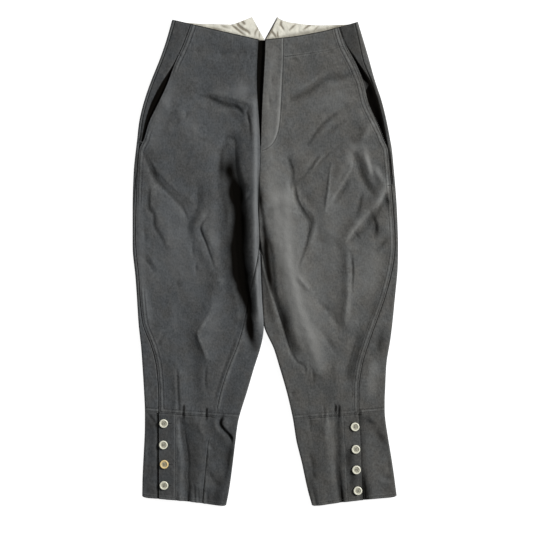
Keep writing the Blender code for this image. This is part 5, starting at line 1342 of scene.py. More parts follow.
def side_face(leg, r, cuff):
    """Face from the side seam out to the rounding of the outline, with its marks. A cuff's starts
    farther in, under the placket's edge, and the placket's gap and the underlap under it carry painted
    shadow."""
    share = np.linspace(0.0, 1.0, SIDE_COLUMNS + 1)[None, :]
    x = r["side_x"] + (r["outer_fold"] - r["side_x"]) * share
    y = leg.line_y(r, x)
    past = np.abs(x - r["side_x"]) * lean(x[:, 0], y[:, 0])
    z = leg.height(r, x, y)
    dark, worn, tone = leg.marks(x, y, z, 3, 3)
    z = z - groove(past) + SIDE_PUCKER * pucker(x, y, past, leg.seed + 4)
    if cuff:
        z = z - PLACKET_SINK * (1.0 - smooth(past / PLACKET_RISE_WIDTH))
        open_end, shown = PLACKET_OPEN, 1.0
        if leg.out > 0.0:
            open_end = smooth((PLACKET_OPEN_Y - y) / PLACKET_OPEN_EASE)
            shown = PLACKET_SHUT_SHADE + (1.0 - PLACKET_SHUT_SHADE) * open_end
        # Painted shadow in the placket's gap
        dark = np.maximum(dark, shown * np.exp(-((past / (PLACKET_GAP * (0.5 + open_end))) ** 2)))
        share = np.linspace(0.0, 1.0, LAP_COLUMNS + 1)[None, :-1]
        lap_x = r["side_x"] - leg.out * PLACKET_UNDERLAP * (1.0 - share)
        lap_y = leg.line_y(r, lap_x)
        lap_z = leg.height(r, lap_x, lap_y) - PLACKET_SINK - groove(0.0) * share
        none = np.zeros_like(lap_z)
        x, y, z = joined(lap_x, x), joined(lap_y, y), joined(lap_z, z)
        # The underlap under the placket is painted fully dark: painted shade
        dark, worn, tone = joined(none + 1.0, dark), joined(none, worn), joined(none, tone)
    return np.stack((x, y, z), axis=-1), dark, worn, tone


def inner_face(leg, r):
    """Face from the rounding of the leg's inner edge to the inseam, with its marks: the cloth
    is lifted and rubbed beside the seam."""
    share = np.linspace(0.0, 1.0, SIDE_COLUMNS + 1)[None, 1:]
    x = r["inner_fold"] + (r["seam_x"] - r["inner_fold"]) * share
    y = leg.line_y(r, x)
    z = leg.height(r, x, y)
    dark, worn, tone = leg.marks(x, y, z, 3, 3)
    away, shown = np.abs(r["seam_x"] - x), leg.inseam(y)
    rise = INSEAM_WELT * np.exp(-(((away - INSEAM_WELT_AWAY) / INSEAM_WELT_WIDTH) ** 2))
    z = z + shown * (rise - groove(away))
    rubbed = shown * INSEAM_WEAR
    rubbed = rubbed * np.exp(-(((away - INSEAM_WEAR_AWAY) / INSEAM_WEAR_WIDTH) ** 2))
    return np.stack((x, y, z), axis=-1), dark, np.maximum(worn, rubbed), tone


def back_end(leg, r, wrapped):
    """Last stretch of the rings: flat towards the centre back above the crotch, wrapped round
    the inner edge below it, and turned from one to the other between. It is stretched sideways
    until its innermost place lies where the tables say."""
    share = np.linspace(1.0, 0.0, wrapped.shape[1])[None, :]
    x = r["back_x"] + leg.out * PEAK_FROM_CENTRE * share
    flat = np.stack((x, leg.back_y(r, x), np.zeros_like(x)), axis=-1)
    lift = r["lift"][..., None]
    end = flat * (1.0 - lift) + wrapped * lift
    reach = leg.out * (r["back_x"] * (1.0 - r["lift"]) + r["inner_x"] * r["lift"])
    away = leg.out * end[..., 0]
    start = away[:, :1]
    share = (start - reach) / (start - away.min(axis=1, keepdims=True))
    end[..., 0] = leg.out * (start - (start - away) * share)
    return end


def make_back(leg, finish, first, last, name):
    """Back of the leg, or of its cuff, between two rows: rings from the side seam round the
    outline and along the surface to the centre back, or below the crotch round the inner edge
    to the inseam."""
    cuff = first >= CUFF_ROW
    r = leg.part(first, last)
    lift = r["lift"]
    side, side_dark, side_worn_and_lit, side_tone = side_face(leg, r, cuff)
    down = np.linspace(0.5 * math.pi, -0.5 * math.pi, FOLD_COLUMNS + 1)[None, :] + 0.0 * lift
    outer = folded_edge(leg, r, r["outer_fold"], leg.out * FOLD_REACH, down)
    inner = folded_edge(leg, r, r["inner_fold"], -leg.out * FOLD_REACH, -down)
    wrap, wrap_dark, wrap_worn_and_lit, wrap_tone = inner_face(leg, r)
    end = back_end(leg, r, joined(inner, wrap))
    share = np.linspace(0.0, 1.0, FLOOR_COLUMNS + 1)[None, 1:-1]
    x = r["outer_fold"] + (end[:, :1, 0] - r["outer_fold"]) * share
    y = leg.back_y(r, x)
    floor = np.stack((x, y, np.sin(math.pi * share) * crease_sum(leg.under, x, y)), axis=-1)

    points = joined(side[:, :-1], outer, floor, end)
    u, v = arc(points, 1), arc(points, 0)
    below = v[-1:] - v
    # Painted shade on the outer fold's rim
    turned = RIM_SHADE * np.sin(np.linspace(0.0, 0.5 * math.pi, outer.shape[1])) + 0.0 * lift
    under, plain = np.zeros(floor.shape[:2]), np.zeros(inner.shape[:2])
    dark = joined(side_dark[:, :-1], turned, under, plain, wrap_dark * lift)
    worn = joined(side_worn_and_lit[:, :-1], turned, under, plain, wrap_worn_and_lit * lift)
    tone = joined(side_tone[:, :-1], leg.tone(outer[..., 0], outer[..., 1]), under,
                  leg.tone(inner[..., 0], inner[..., 1]) * lift, wrap_tone * lift)
    twin = np.full(u.shape, FAR) if cuff else below + SEAM_DROP
    row = np.abs(below - HEM_STITCH) if cuff else np.full(u.shape, FAR)
    edge = np.minimum(u, u[:, -1:] - u + SEAM_FADE * (1.0 - leg.inseam(points[:, -1:, 1])))
    edge = np.minimum(edge, np.minimum(v + 0.5 * cuff, below + 0.5 * (not cuff)))
    facts = {"twin": twin, "row": row, "edge": edge, "worn": worn, "shade": dark, "tone": tone,
             "sewn": 1.0}
    sew_on(name, points, clothed(points, leg.out, CLOTH), finish, facts)


def make_bearer(leg, finish):
    """Pocket bearer: a grid from under the front's pocket edge out to the side seam, sunk in
    the pocket's mouth and rising to the leg's upper face beyond it."""
    r = leg.part(0, BEARER_END - 1)
    out = leg.out
    wide = np.abs(r["side_x"] - r["front_x"])
    mouth = np.maximum(np.minimum(r["mouth"], MOUTH_SHARE * wide), LEAST_MOUTH)
    share = np.linspace(0.0, 1.0, BEARER_COLUMNS + 1)[None, :]
    start = r["front_x"] - out * POCKET_UNDERLAP
    x = start + (r["side_x"] - start) * share
    y = leg.line_y(r, x)
    past = out * (x - r["front_x"])
    climb = np.minimum(mouth, BEARER_RISE_WIDTH + BEARER_RISE_SHARE * r["gap"])
    rise = smooth(past / climb - BEARER_RISE_START)
    drop = BEARER_STEP + (BEARER_DROP - BEARER_STEP) * smooth(r["gap"] / BEARER_OPEN_GAP)
    wrinkles = ripple(0.8 * x + 0.6 * y, 0.8 * y - 0.6 * x, BEARER_WRINKLE_SIZE, leg.seed + 6)
    wrinkles = BEARER_WRINKLE * wrinkles * smooth(past / BEARER_WRINKLE_FADE)
    to_side = np.abs(r["side_x"] - x)
    z = leg.height(r, x, y) - drop * (1.0 - rise) + wrinkles - groove(to_side)
    z = z + SIDE_PUCKER * pucker(x, y, to_side, leg.seed + 7)
    points = np.stack((x, y, z), axis=-1)
    hollow, worn = hollows(z, 3, 3)
    # Painted shadow in the pocket's mouth, from the front's edge out to the gap's width
    gap = 1.0 - smooth((past - r["gap"]) / MOUTH_EDGE + 0.5)
    if out > 0.0:
        rolled = POCKET_PINCH * np.exp(-(((y - POCKET_PINCH_Y) / POCKET_PINCH_WIDTH) ** 2))
        gap = gap * smooth((past - rolled) / POCKET_PINCH_EDGE + 1.0)
    dark = np.maximum(np.maximum(gap, BEARER_SHADE * hollow), leg.depth(x, y))
    _u, v = arc(points, 1), arc(points, 0)
    facts = {"twin": FAR, "row": FAR, "edge": np.minimum(to_side, 0.6 * v), "shade": dark,
             "worn": HOLLOW_HIGHLIGHT * worn, "tone": BEARER_TONES[leg.name], "sewn": 1.0}
    sew_on("pocket_bearer_" + leg.name, points, clothed(points, out, LINING_CLOTH), finish, facts)


def make_fly(right, left, finish):
    """Fly underlap: a grid across the slit between the two fronts, just under them, and
    sunk a little more towards the left front."""
    r, other = right.part(0, FLY_END), left.part(0, FLY_END)
    start = r["seam_x"] - FLY_UNDERLAP
    end = other["seam_x"] + FLY_UNDERLAP
    x = start + (end - start) * np.linspace(0.0, 1.0, FLY_COLUMNS + 1)[None, :]
    slit = np.maximum(other["seam_x"] - r["seam_x"], 1.0)
    away = np.maximum(np.maximum(r["seam_x"] - x, x - other["seam_x"]), 0.0)
    face = r["edge"] + (r["ridge"] - r["edge"]) * np.exp(-((away / RIDGE_REACH) ** 2))
    sink = FLY_SINK * smooth((x - r["seam_x"]) / slit + 0.5)
    z = face - CLOTH - LAYER_GAP - sink - FLY_EXTRA
    y = r["inner_y"] + 0.0 * x
    y[0] -= FLY_UNDER_WAIST
    z = z + FLY_WAVE * ripple(x, y, FLY_WAVE_SIZE, FLY_WAVE_SEED)
    points = np.stack((x, y, z), axis=-1)
    _u, v = arc(points, 1), arc(points, 0)
    # The underlap is painted near-black, as painted shade
    facts = {"twin": FAR, "row": FAR, "edge": v, "worn": 0.0, "shade": FLY_SHADE + 0.0 * x}
    sew_on("fly_underlap", points, clothed(points, 1.0, CLOTH), finish, facts)


def make_lining(leg, finish):
    """Lining of the fishtail: a grid from its upper edge down under the front's waist, crossed
    by sharp creases and soft swells."""
    first = {key: values[0] for key, values in leg.rows.items()}
    start = first["outer_x"] - leg.out * LINING_FROM_OUTLINE
    peak = first["back_x"] + leg.out * PEAK_FROM_CENTRE
    end = first["back_x"] + leg.out * LINING_FROM_CENTRE
    x = np.concatenate((np.linspace(start, peak, LINING_COLUMNS),
                        np.linspace(peak, end, NOTCH_COLUMNS + 1)[1:]))[None, :]
    inset = np.where(leg.out * (x - peak) < -0.5, leg.notch_inset, LINING_EDGE_INSET)
    high = leg.fishtail_y(x) - inset
    low = leg.waist_y(x) - LINING_UNDER_FRONT
    y = high + (low - high) * np.linspace(0.0, 1.0, LINING_ROWS)[:, None]
    x = x + 0.0 * y
    bottom = BACK_CLOTH + LINING_GAP + LINING_CLOTH
    (large, large_size), (small, small_size) = LINING_SWELLS
    swell = large * ripple(x, y, large_size, leg.seed + 8)
    swell = swell + small * ripple(x, y, small_size, leg.seed + 9)
    crease = crease_sum(LINING_CREASES, x, y, width_share=LINING_CREASE_WIDTH)
    z = np.maximum(bottom + LINING_RISE + swell + crease, bottom)
    points = np.stack((x, y, z), axis=-1)
    inner = points - np.array((0.0, 0.0, LINING_CLOTH))
    _u, v = arc(points, 1), arc(points, 0)
    # Painted shade: in the creases, and from just above the front's waist edge under it
    under = LINING_UNDER_FRONT + LINING_DARK_REACH - (v[-1:] - v)
    facts = {"edge": v, "shade": np.clip(-crease / LINING_CREASE_FULL, 0.0, 1.0), "worn": 0.0,
             "deep": smooth(under / LINING_DARK_FADE + 0.5)}
    sew_on("back_lining_" + leg.name, points, inner, finish, facts)


def resample(line, pitch):
    """Places at an even pitch along a line, and the unit ways of the line there."""
    steps = np.hypot(*np.diff(line[:, :2], axis=0).T)
    along = np.concatenate(((0.0,), np.cumsum(steps)))
    count = max(int(along[-1] / pitch), 1)
    at = (np.arange(count) + 0.5) * along[-1] / count
    x, y = np.interp(at, along, line[:, 0]), np.interp(at, along, line[:, 1])
    ahead = np.minimum(at + 0.5, along[-1])
    back = np.maximum(at - 0.5, 0.0)
    way = np.stack((np.interp(ahead, along, line[:, 0]) - np.interp(back, along, line[:, 0]),
                    np.interp(ahead, along, line[:, 1]) - np.interp(back, along, line[:, 1])), 1)
    return x, y, unit(way)


def beside(line, distance):
    """A line moved sideways, to the left hand of its way when the distance is positive."""
    way = unit(np.gradient(line[:, :2], axis=0))
    return line[:, :2] + distance * np.stack((-way[:, 1], way[:, 0]), axis=1)


class Sewing:
    """Collects stitches, each a small lozenge: an ellipse of rings round its own length."""

    def __init__(self):
        self.centres, self.ways, self.sizes = [], [], []

    def add(self, leg, x, y, way, length=STITCH_LENGTH, width=STITCH_WIDTH, away=None,
            lift=STITCH_LIFT):
        """Lay stitches on the leg's face at the given places, along the given ways."""
        x, y = np.asarray(x, dtype=float), np.asarray(y, dtype=float)
        middle = leg.surface(x, y, away) + lift
        dx, dy = way[:, 0] * length / 2.0, way[:, 1] * length / 2.0
        rise = leg.surface(x + dx, y + dy, away) - leg.surface(x - dx, y - dy, away)
        rise = np.clip(rise / length, -STITCH_SLOPE, STITCH_SLOPE)
        self.centres.append(np.stack((x, y, middle), axis=1))
        self.ways.append(unit(np.concatenate((way, rise[:, None]), axis=1)))
        self.sizes.append(np.tile((length, width, STITCH_HEIGHT), (len(x), 1)))

    def row(self, leg, line, lift):
        """A row of running stitches along a line."""
        x, y, way = resample(np.asarray(line, dtype=float), settings().stitch_pitch / MM)
        self.add(leg, x, y, way, lift=lift)

    def bars(self, leg, line, pitch, length, lift):
        """Short stitches side by side across a line."""
        x, y, way = resample(np.asarray(line, dtype=float), pitch)
        across = np.stack((-way[:, 1], way[:, 0]), axis=1)
        self.add(leg, x, y, across, length=length, lift=lift)

    def make(self, name, finish, slot):
        """One mesh of all the stitches."""
        centre = np.concatenate(self.centres)[:, None, :]
        way = np.concatenate(self.ways)
        length, width, height = (np.concatenate(self.sizes)[:, k, None, None] for k in range(3))
        across = unit(np.cross((0.0, 0.0, 1.0), way))
        up = np.cross(way, across)
        ring = np.linspace(-1.0, 1.0, STITCH_RINGS + 2)[1:-1]
        turn = np.arange(STITCH_SIDES) * math.tau / STITCH_SIDES
        girth = np.sqrt(1.0 - ring**2)[:, None]
        along = (ring[:, None] + 0.0 * turn).ravel()
        a = np.concatenate((along, (-1.0, 1.0)))[None, :, None]
        b = np.concatenate(((girth * np.cos(turn)).ravel(), (0.0, 0.0)))[None, :, None]
        c = np.concatenate(((girth * np.sin(turn)).ravel(), (0.0, 0.0)))[None, :, None]
        points = centre + 0.5 * (a * length * way[:, None] + b * width * across[:, None]
                                 + c * height * up[:, None])
        sides, rings = STITCH_SIDES, STITCH_RINGS
        k, after = np.arange(sides), (np.arange(sides) + 1) % sides
        tail, head = sides * rings, sides * rings + 1
        faces = [np.stack((np.full(sides, tail), after, k), axis=1)]
        for i in range(rings - 1):
            low, high = i * sides, (i + 1) * sides
            faces.append(np.stack((low + k, low + after, high + after), axis=1))
            faces.append(np.stack((low + k, high + after, high + k), axis=1))
        last = (rings - 1) * sides
        faces.append(np.stack((np.full(sides, head), last + k, last + after), axis=1))
        faces = np.concatenate(faces)
        each = np.arange(len(points))[:, None, None] * points.shape[1]
        mesh = new_mesh(name, points.reshape(-1, 3) * MM, (each + faces).reshape(-1, 3))
        mesh.materials.append(finish)
        piece = link(bpy.data.objects.new(name, mesh))
        return piece


def make_topstitching(leg, finish):
    """The rows beside the side seam, the pocket's edge and the cuff's seam, the fly's curve,
    the facing's row, the button strip's row and the hem's row."""
    sewing = Sewing()
    front = -leg.out
    side = leg.column_line("side_x", POCKET_END + 2, CUFF_ROW - 2)
    pocket = leg.column_line("front_x", 3, 2 * KEY_STEP + 4)
    for distance in SEAM_STITCH:
        line = beside(side, front * distance)
        x, y, way = resample(line, settings().stitch_pitch / MM)
        seen = leg.sewn(y) > SEEN
        sewing.add(leg, x[seen], y[seen], way[seen], away=np.full(seen.sum(), distance))
    if leg.out < 0.0:
        for distance in SEAM_STITCH:
            line = beside(pocket, front * distance)
            x, y, way = resample(line, settings().stitch_pitch / MM)
            sewing.add(leg, x, y, way, away=np.full(len(x), distance))
        lines = (RIGHT_FACING_LINE, RIGHT_STRIP_LINE)
    else:
        for line in (LEFT_POCKET_LINE, LEFT_POCKET_TWIN):
            sewing.row(leg, smooth_line(line), lift=POCKET_LIFT)
        lines = (FLY_LINE, LEFT_FACING_LINE, LEFT_STRIP_LINE)
    for line in lines:
        sewing.row(leg, smooth_line(line), lift=FACING_LIFT)
    for index, rises in ((CUFF_ROW, CROSS_STITCH), (leg.count - 1, (HEM_STITCH,))):
        r = leg.part(index, index)
        x = np.linspace(r["inner_fold"][0, 0], r["outer_fold"][0, 0], LEVEL_PLACES)
        for rise in rises:
            line = np.stack((x, leg.line_y(r, x[None, :])[0] + rise), axis=1)
            keep = np.abs(x - r["side_x"][0, 0] - leg.out * 2.0) > 3.5
            parts = (line[keep & (leg.out * (x - r["side_x"][0, 0]) < 0.0)],
                     line[keep & (leg.out * (x - r["side_x"][0, 0]) > 0.0)])
            for stretch in parts:
                if len(stretch) > 2:
                    sewing.row(leg, stretch, lift=LEVEL_LIFT)
    return sewing.make("topstitching_" + leg.name, finish, "drill_" + leg.name)


def make_buttonholes(leg, finish, dark):
    """Buttonholes: two lines of short bars either side of a slit, closed by a bar, and tacks at the
    pockets."""
    sewing, slits = Sewing(), Sewing()
    front = -leg.out
    for x, y in leg.buttons:
        start, end = x + front * HOLE_START, x + front * (HOLE_START + HOLE_LENGTH)
        for hand in (-1.0, 1.0):
            line = ((start, y + hand * HOLE_SIDE), (end, y + hand * HOLE_SIDE))
            sewing.bars(leg, line, HOLE_BAR_PITCH, HOLE_BAR_LENGTH, lift=STRIP_RISE)
        line = ((end, y - HOLE_SIDE), (end, y + HOLE_SIDE))
        sewing.bars(leg, line, HOLE_BAR_PITCH, HOLE_BAR_LENGTH, lift=STRIP_RISE)
        # Each slit is a thin near-black strip: painted shade in the opening
        middle = np.array(((start + end) / 2.0,)), np.array((y,))
        slits.add(leg, *middle, np.array(((1.0, 0.0),)), length=HOLE_LENGTH - SLIT_SHORTER,
                  width=SLIT_WIDTH, lift=STRIP_RISE)
    for name, *line in BARTACKS:
        if name == leg.name:
            sewing.bars(leg, line, TACK_PITCH, TACK_LENGTH, lift=TACK_LIFT)
    slits.make("buttonhole_slits_" + leg.name, dark, "drill_inside")
    return sewing.make("buttonholes_" + leg.name, finish, "drill_" + leg.name)


def make_button(leg, number, finish, thread):
    """A turned four-hole button: rings of points round its axis, from the middle of the well
    over the rim and round the edge to the middle of its underside. The holes are dents with
    steep walls in the well's rings."""
    x, y = leg.buttons[number]
    seat = float(leg.surface(np.array((x,)), np.array((y,)))[0]) + STRIP_RISE + BUTTON_SEAT
    spokes = np.arange(BUTTON_SPOKES) * math.tau / BUTTON_SPOKES
    radius = np.linspace(BUTTON_MIDDLE, BUTTON_RADIUS - BUTTON_ROUND, BUTTON_RINGS)[:, None]
    bowl = 1.0 - smooth((radius - WELL_RADIUS + 0.5) / WELL_EDGE)
    crown = ((radius - CROWN_RADIUS) / CROWN_WIDTH) ** 2 * (radius > CROWN_RADIUS)
    crown = BUTTON_CROWN * (crown + (radius / WELL_RADIUS) ** 2 * bowl)
    top = BUTTON_HEIGHT - WELL_DEPTH * bowl - crown + 0.0 * spokes
    turn = BUTTON_TURN * (number - 1.5)
    px, py = radius * np.cos(spokes), radius * np.sin(spokes)
    for corner in range(4):
        angle = (corner + 0.5) * math.tau / 4.0 + turn
        away = np.hypot(px - HOLE_OFFSET * math.cos(angle), py - HOLE_OFFSET * math.sin(angle))
        top = top - HOLE_DEPTH * (1.0 - smooth((away - HOLE_RADIUS) / HOLE_WALL + 0.5))
    bend = np.linspace(0.0, math.pi, 13)[1:, None]
    edge_radius = BUTTON_RADIUS - BUTTON_ROUND + BUTTON_ROUND * np.sin(bend)
    edge_z = BUTTON_HEIGHT * (BUTTON_BELLY + BUTTON_BULGE * np.cos(bend)) + 0.0 * spokes
    under_radius = np.linspace(BUTTON_RADIUS - 2.0 * BUTTON_ROUND, 0.4, 7)[:, None]
    under_z = BUTTON_HEIGHT * (BUTTON_BELLY - BUTTON_BULGE) + 0.0 * under_radius + 0.0 * spokes
    rings = np.stack((
        np.concatenate((px, edge_radius * np.cos(spokes), under_radius * np.cos(spokes))),
        np.concatenate((py, edge_radius * np.sin(spokes), under_radius * np.sin(spokes))),
        np.concatenate((top, edge_z, under_z)),
    ), axis=-1)
    count = rings.shape[0] * BUTTON_SPOKES
    poles = np.array(((0.0, 0.0, rings[0, 0, 2]), (0.0, 0.0, under_z[-1, 0])))
    points = np.concatenate((rings.reshape(-1, 3), poles)) + np.array((x, y, seat))
    index = np.arange(count).reshape(-1, BUTTON_SPOKES)
    after = np.roll(index, -1, axis=1)
    faces = np.concatenate((
        np.stack((index[:-1], index[1:], after[1:]), axis=-1).reshape(-1, 3),
        np.stack((index[:-1], after[1:], after[:-1]), axis=-1).reshape(-1, 3),
        np.stack((np.full(BUTTON_SPOKES, count), index[0], after[0]), axis=-1),
        np.stack((np.full(BUTTON_SPOKES, count + 1), after[-1], index[-1]), axis=-1),
    ))
    name = "button_" + leg.name + "_" + str(number + 1)
    mesh = new_mesh(name + "_turned", points * MM, faces)
    well = np.concatenate((np.repeat(bowl[:, 0], BUTTON_SPOKES),
                           np.zeros(count + 2 - BUTTON_RINGS * BUTTON_SPOKES)))
    mesh.attributes.new("well", "FLOAT", "POINT").data.foreach_set("value", well.astype(np.float32))
    mesh.materials.append(finish)
    piece = link(bpy.data.objects.new(mesh.name, mesh))
    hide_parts(name)
    thread.append((x, y, seat + BUTTON_HEIGHT - WELL_DEPTH, turn))
    return piece


class Finish:
    """A procedural finish in the making: short calls that add a node and give its output."""

    def __init__(self, name, roughness, specular=0.3, sheen=0.0):
        self.material = bpy.data.materials.new(name)
        self.material.use_nodes = True
        self.tree = self.material.node_tree
        self.shader = self.tree.nodes["Principled BSDF"]
        self.shader.inputs["Roughness"].default_value = roughness
        self.shader.inputs["Specular IOR Level"].default_value = specular
        self.shader.inputs["Sheen Weight"].default_value = sheen
        self.shader.inputs["Sheen Roughness"].default_value = 0.6

    def plug(self, socket, value):
        """Link a node's output into a socket, or set a plain value there."""
        if isinstance(value, bpy.types.NodeSocket):
            self.tree.links.new(value, socket)
        else:
            socket.default_value = value

    def math(self, operation, *values):
        """One sum of one to three values."""
        node = self.tree.nodes.new("ShaderNodeMath")
        node.operation = operation
        for socket, value in zip(node.inputs, values):
            self.plug(socket, value)
        return node.outputs[0]

    def times(self, a, b):
        """One value times another."""
        return self.math("MULTIPLY", a, b)

    def most(self, a, b):
        """The greater of two values."""
        return self.math("MAXIMUM", a, b)

    def vector(self, operation, a, b):
        """One sum of two vectors: a dot product gives its number."""
        node = self.tree.nodes.new("ShaderNodeVectorMath")
        node.operation = operation
        self.plug(node.inputs[0], a)
        self.plug(node.inputs[1], b)
        return node.outputs["Value" if operation == "DOT_PRODUCT" else "Vector"]

    def mix(self, share, a, b):
        """A colour between a and b."""
        node = self.tree.nodes.new("ShaderNodeMix")
        node.data_type = "RGBA"
        self.plug(node.inputs["Factor"], share)
        self.plug(next(s for s in node.inputs if s.identifier == "A_Color"), a)
        self.plug(next(s for s in node.inputs if s.identifier == "B_Color"), b)
        return next(s for s in node.outputs if s.identifier == "Result_Color")

    def fact(self, name):
        """A value kept at each point of the mesh."""
        node = self.tree.nodes.new("ShaderNodeAttribute")
        node.attribute_name = name
        return node.outputs["Fac"]

    def cloth_place(self):
        """Millimetres along the cloth, from the mesh's own UV."""
        node = self.tree.nodes.new("ShaderNodeUVMap")
        node.uv_map = "cloth"
        return self.vector("MULTIPLY", node.outputs["UV"], (1000.0, 1000.0, 0.0))

    def object_place(self):
        """Millimetres in the garment's frame."""
        node = self.tree.nodes.new("ShaderNodeTexCoord")
        return self.vector("MULTIPLY", node.outputs["Object"], (1000.0, 1000.0, 1000.0))

    def noise(self, place, size, detail=3.0):
        """Soft noise from 0 to 1 with spots of about the given size."""
        node = self.tree.nodes.new("ShaderNodeTexNoise")
        self.plug(node.inputs["Vector"], place)
        node.inputs["Scale"].default_value = 1.0 / size
        node.inputs["Detail"].default_value = detail
        return node.outputs["Fac"]

    def ease(self, value, low, high, start=0.0, end=1.0):
        """The value mapped from low..high to start..end, eased at both ends."""
        node = self.tree.nodes.new("ShaderNodeMapRange")
        node.interpolation_type = "SMOOTHSTEP"
        for socket, number in zip(node.inputs, (value, low, high, start, end)):
            self.plug(socket, number)
        return node.outputs[0]

    def line(self, distance, place, width):
        """1 on a line at that distance, easing to 0 a width away from it."""
        away = self.math("ABSOLUTE", self.math("SUBTRACT", distance, place))
        return self.ease(away, 0.0, width, 1.0, 0.0)

    def bump(self, height, distance, strength, below=None):
        """Small relief in metres, over any relief below it."""
        node = self.tree.nodes.new("ShaderNodeBump")
        node.inputs["Strength"].default_value = strength
        node.inputs["Distance"].default_value = distance
        self.plug(node.inputs["Height"], height)
        if below is not None:
            self.plug(node.inputs["Normal"], below)
        return node.outputs["Normal"]

    def done(self, colour, normal):
        """Close the finish with its colour and relief."""
        self.plug(self.shader.inputs["Base Color"], colour)
        self.plug(self.shader.inputs["Normal"], normal)
        return self.material


def scaled(colour, factor, tint=(1.0, 1.0, 1.0)):
    """A colour made paler or darker, and tinted."""
    return tuple(min(part * factor * share, 1.0) for part, share in zip(colour, tint)) + (1.0,)


def drill(name, colour):
    """Cotton drill: steep twill lines, slubs, soft mottling and fading, paler where it is worn beside
    the seams and edges, with painted highlight on the ridges and lit patches, painted shade in the
    folds, gaps, edges and dark patches, and darker along the stitches."""
    own = settings()
    finish = Finish(name, roughness=0.92, specular=0.03, sheen=0.0)
    place = finish.object_place()
    fade = finish.noise(place, 60.0, 2.0)
    mottle = finish.noise(place, 11.0, 3.0)
    grain = finish.noise(place, 3.6, 2.0)
    slub = finish.noise(finish.vector("MULTIPLY", place, (2.0, 0.5, 1.0)), 3.4, 2.0)
    tone = finish.times(fade, 0.15)
    tone = finish.math("MULTIPLY_ADD", mottle, 0.11, tone)
    tone = finish.math("MULTIPLY_ADD", grain, 0.38, tone)
    tone = finish.math("MULTIPLY_ADD", slub, 0.36, tone)
    tone = finish.ease(tone, 0.34, 0.66)
    drift = finish.ease(finish.noise(place, 24.0, 2.0), 0.35, 0.65)
    cool, warm = scaled(colour, 1.0, (0.98, 1.0, 1.02)), scaled(colour, 1.0, (1.02, 1.0, 0.975))
    cloth = finish.mix(tone, finish.mix(drift, scaled(cool, 0.78), scaled(warm, 0.78)),
                       finish.mix(drift, scaled(cool, 1.29), scaled(warm, 1.29)))
    # Tone above 0 is painted highlight with some fading, and below 0 it is painted shade
    patch = finish.fact("tone")
    cloth = finish.mix(finish.most(patch, 0.0), cloth, scaled(colour, FADED_AND_LIT))
    patchy = finish.ease(finish.noise(place, 5.0, 3.0), 0.35, 0.65, 0.35, 1.0)
    # Wear beside the seams and edges, and painted highlight on the rises and crease crests
    worn = finish.times(finish.fact("worn"), patchy)
    twin = finish.fact("twin")
    row = finish.fact("row")
    edge = finish.fact("edge")
    between = finish.line(twin, sum(SEAM_STITCH) / 2.0, 2.2)
    rub = finish.times(finish.line(edge, 1.6, 1.2), 0.5)
    rub = finish.most(finish.times(between, finish.fact("sewn")), rub)
    rub = finish.most(rub, finish.line(row, 2.0, 1.2))
    rub = finish.times(rub, finish.times(patchy, 0.55))
    worn = finish.most(worn, rub)
    cloth = finish.mix(finish.times(worn, own.wear_and_highlight), cloth, tuple(own.worn_and_lit_colour))
    sewn = finish.most(finish.line(twin, SEAM_STITCH[0], WEAR_WIDTH),
                       finish.line(twin, SEAM_STITCH[1], WEAR_WIDTH))
    sewn = finish.times(sewn, finish.fact("sewn"))
    sewn = finish.most(sewn, finish.line(row, 0.0, WEAR_WIDTH))
    dark = finish.times(sewn, 0.40)
    # A dark line at each edge: painted shadow along the free edges, a dark joint at the seams
    dark = finish.most(dark, finish.times(finish.line(edge, 0.0, 1.4), 0.9))
    # Painted shade: the dark patches, and the folds, creases, gaps and button shadows from the shade
    # attribute
    dark = finish.most(dark, finish.times(patch, -0.85))
    dark = finish.most(dark, finish.fact("shade"))
    cloth = finish.mix(dark, cloth, tuple(own.painted_shade_colour))
    lines = finish.vector("DOT_PRODUCT", place, (TWILL_TURN[0], TWILL_TURN[1], 0.0))
    wander = finish.times(finish.noise(place, 3.0, 2.0), 1.6)
    twill = finish.math("SINE", finish.math("ADD", lines, wander))
    weave = finish.math("MULTIPLY_ADD", twill, 0.5, 0.5)
    low = finish.bump(finish.math("ADD", mottle, finish.times(grain, 0.6)), 0.0011, 0.55)
    stitched = finish.bump(finish.math("SUBTRACT", 1.0, sewn), 0.0005, 0.5, low)
    fine = finish.bump(finish.math("ADD", weave, slub), 0.00018, 0.45, stitched)
    return finish.done(cloth, fine)


def lining_cotton():
    """Cream plain-weave cotton, with painted shade in its creases and where it goes under the front."""
    finish = Finish("lining_cream", roughness=0.85, specular=0.2, sheen=0.04)
    place = finish.cloth_place()
    cream = tuple(settings().lining_colour)
    tone = finish.ease(finish.math("MULTIPLY_ADD", finish.noise(place, 3.0), 0.5,
                                   finish.times(finish.noise(place, 16.0), 0.5)), 0.3, 0.7)
    cloth = finish.mix(tone, scaled(cream, 0.90), scaled(cream, 1.06))
    # Painted shade in the creases and under the front's waist edge
    crease = finish.times(finish.fact("shade"), 0.85)
    cloth = finish.mix(crease, cloth, (0.12, 0.10, 0.07, 1.0))
    cloth = finish.mix(finish.times(finish.fact("deep"), 0.6), cloth, (0.10, 0.085, 0.06, 1.0))
    hem = finish.times(finish.line(finish.fact("edge"), 0.0, 1.0), 0.4)
    cloth = finish.mix(hem, cloth, (0.30, 0.26, 0.20, 1.0))
    across = finish.math("SINE", finish.vector("DOT_PRODUCT", place, (8.5, 0.0, 0.0)))
    along = finish.math("SINE", finish.vector("DOT_PRODUCT", place, (0.0, 8.5, 0.0)))
    low = finish.bump(finish.noise(place, 3.5), 0.0008, 0.5)
    return finish.done(cloth, finish.bump(finish.times(across, along), 0.0001, 0.3, low))


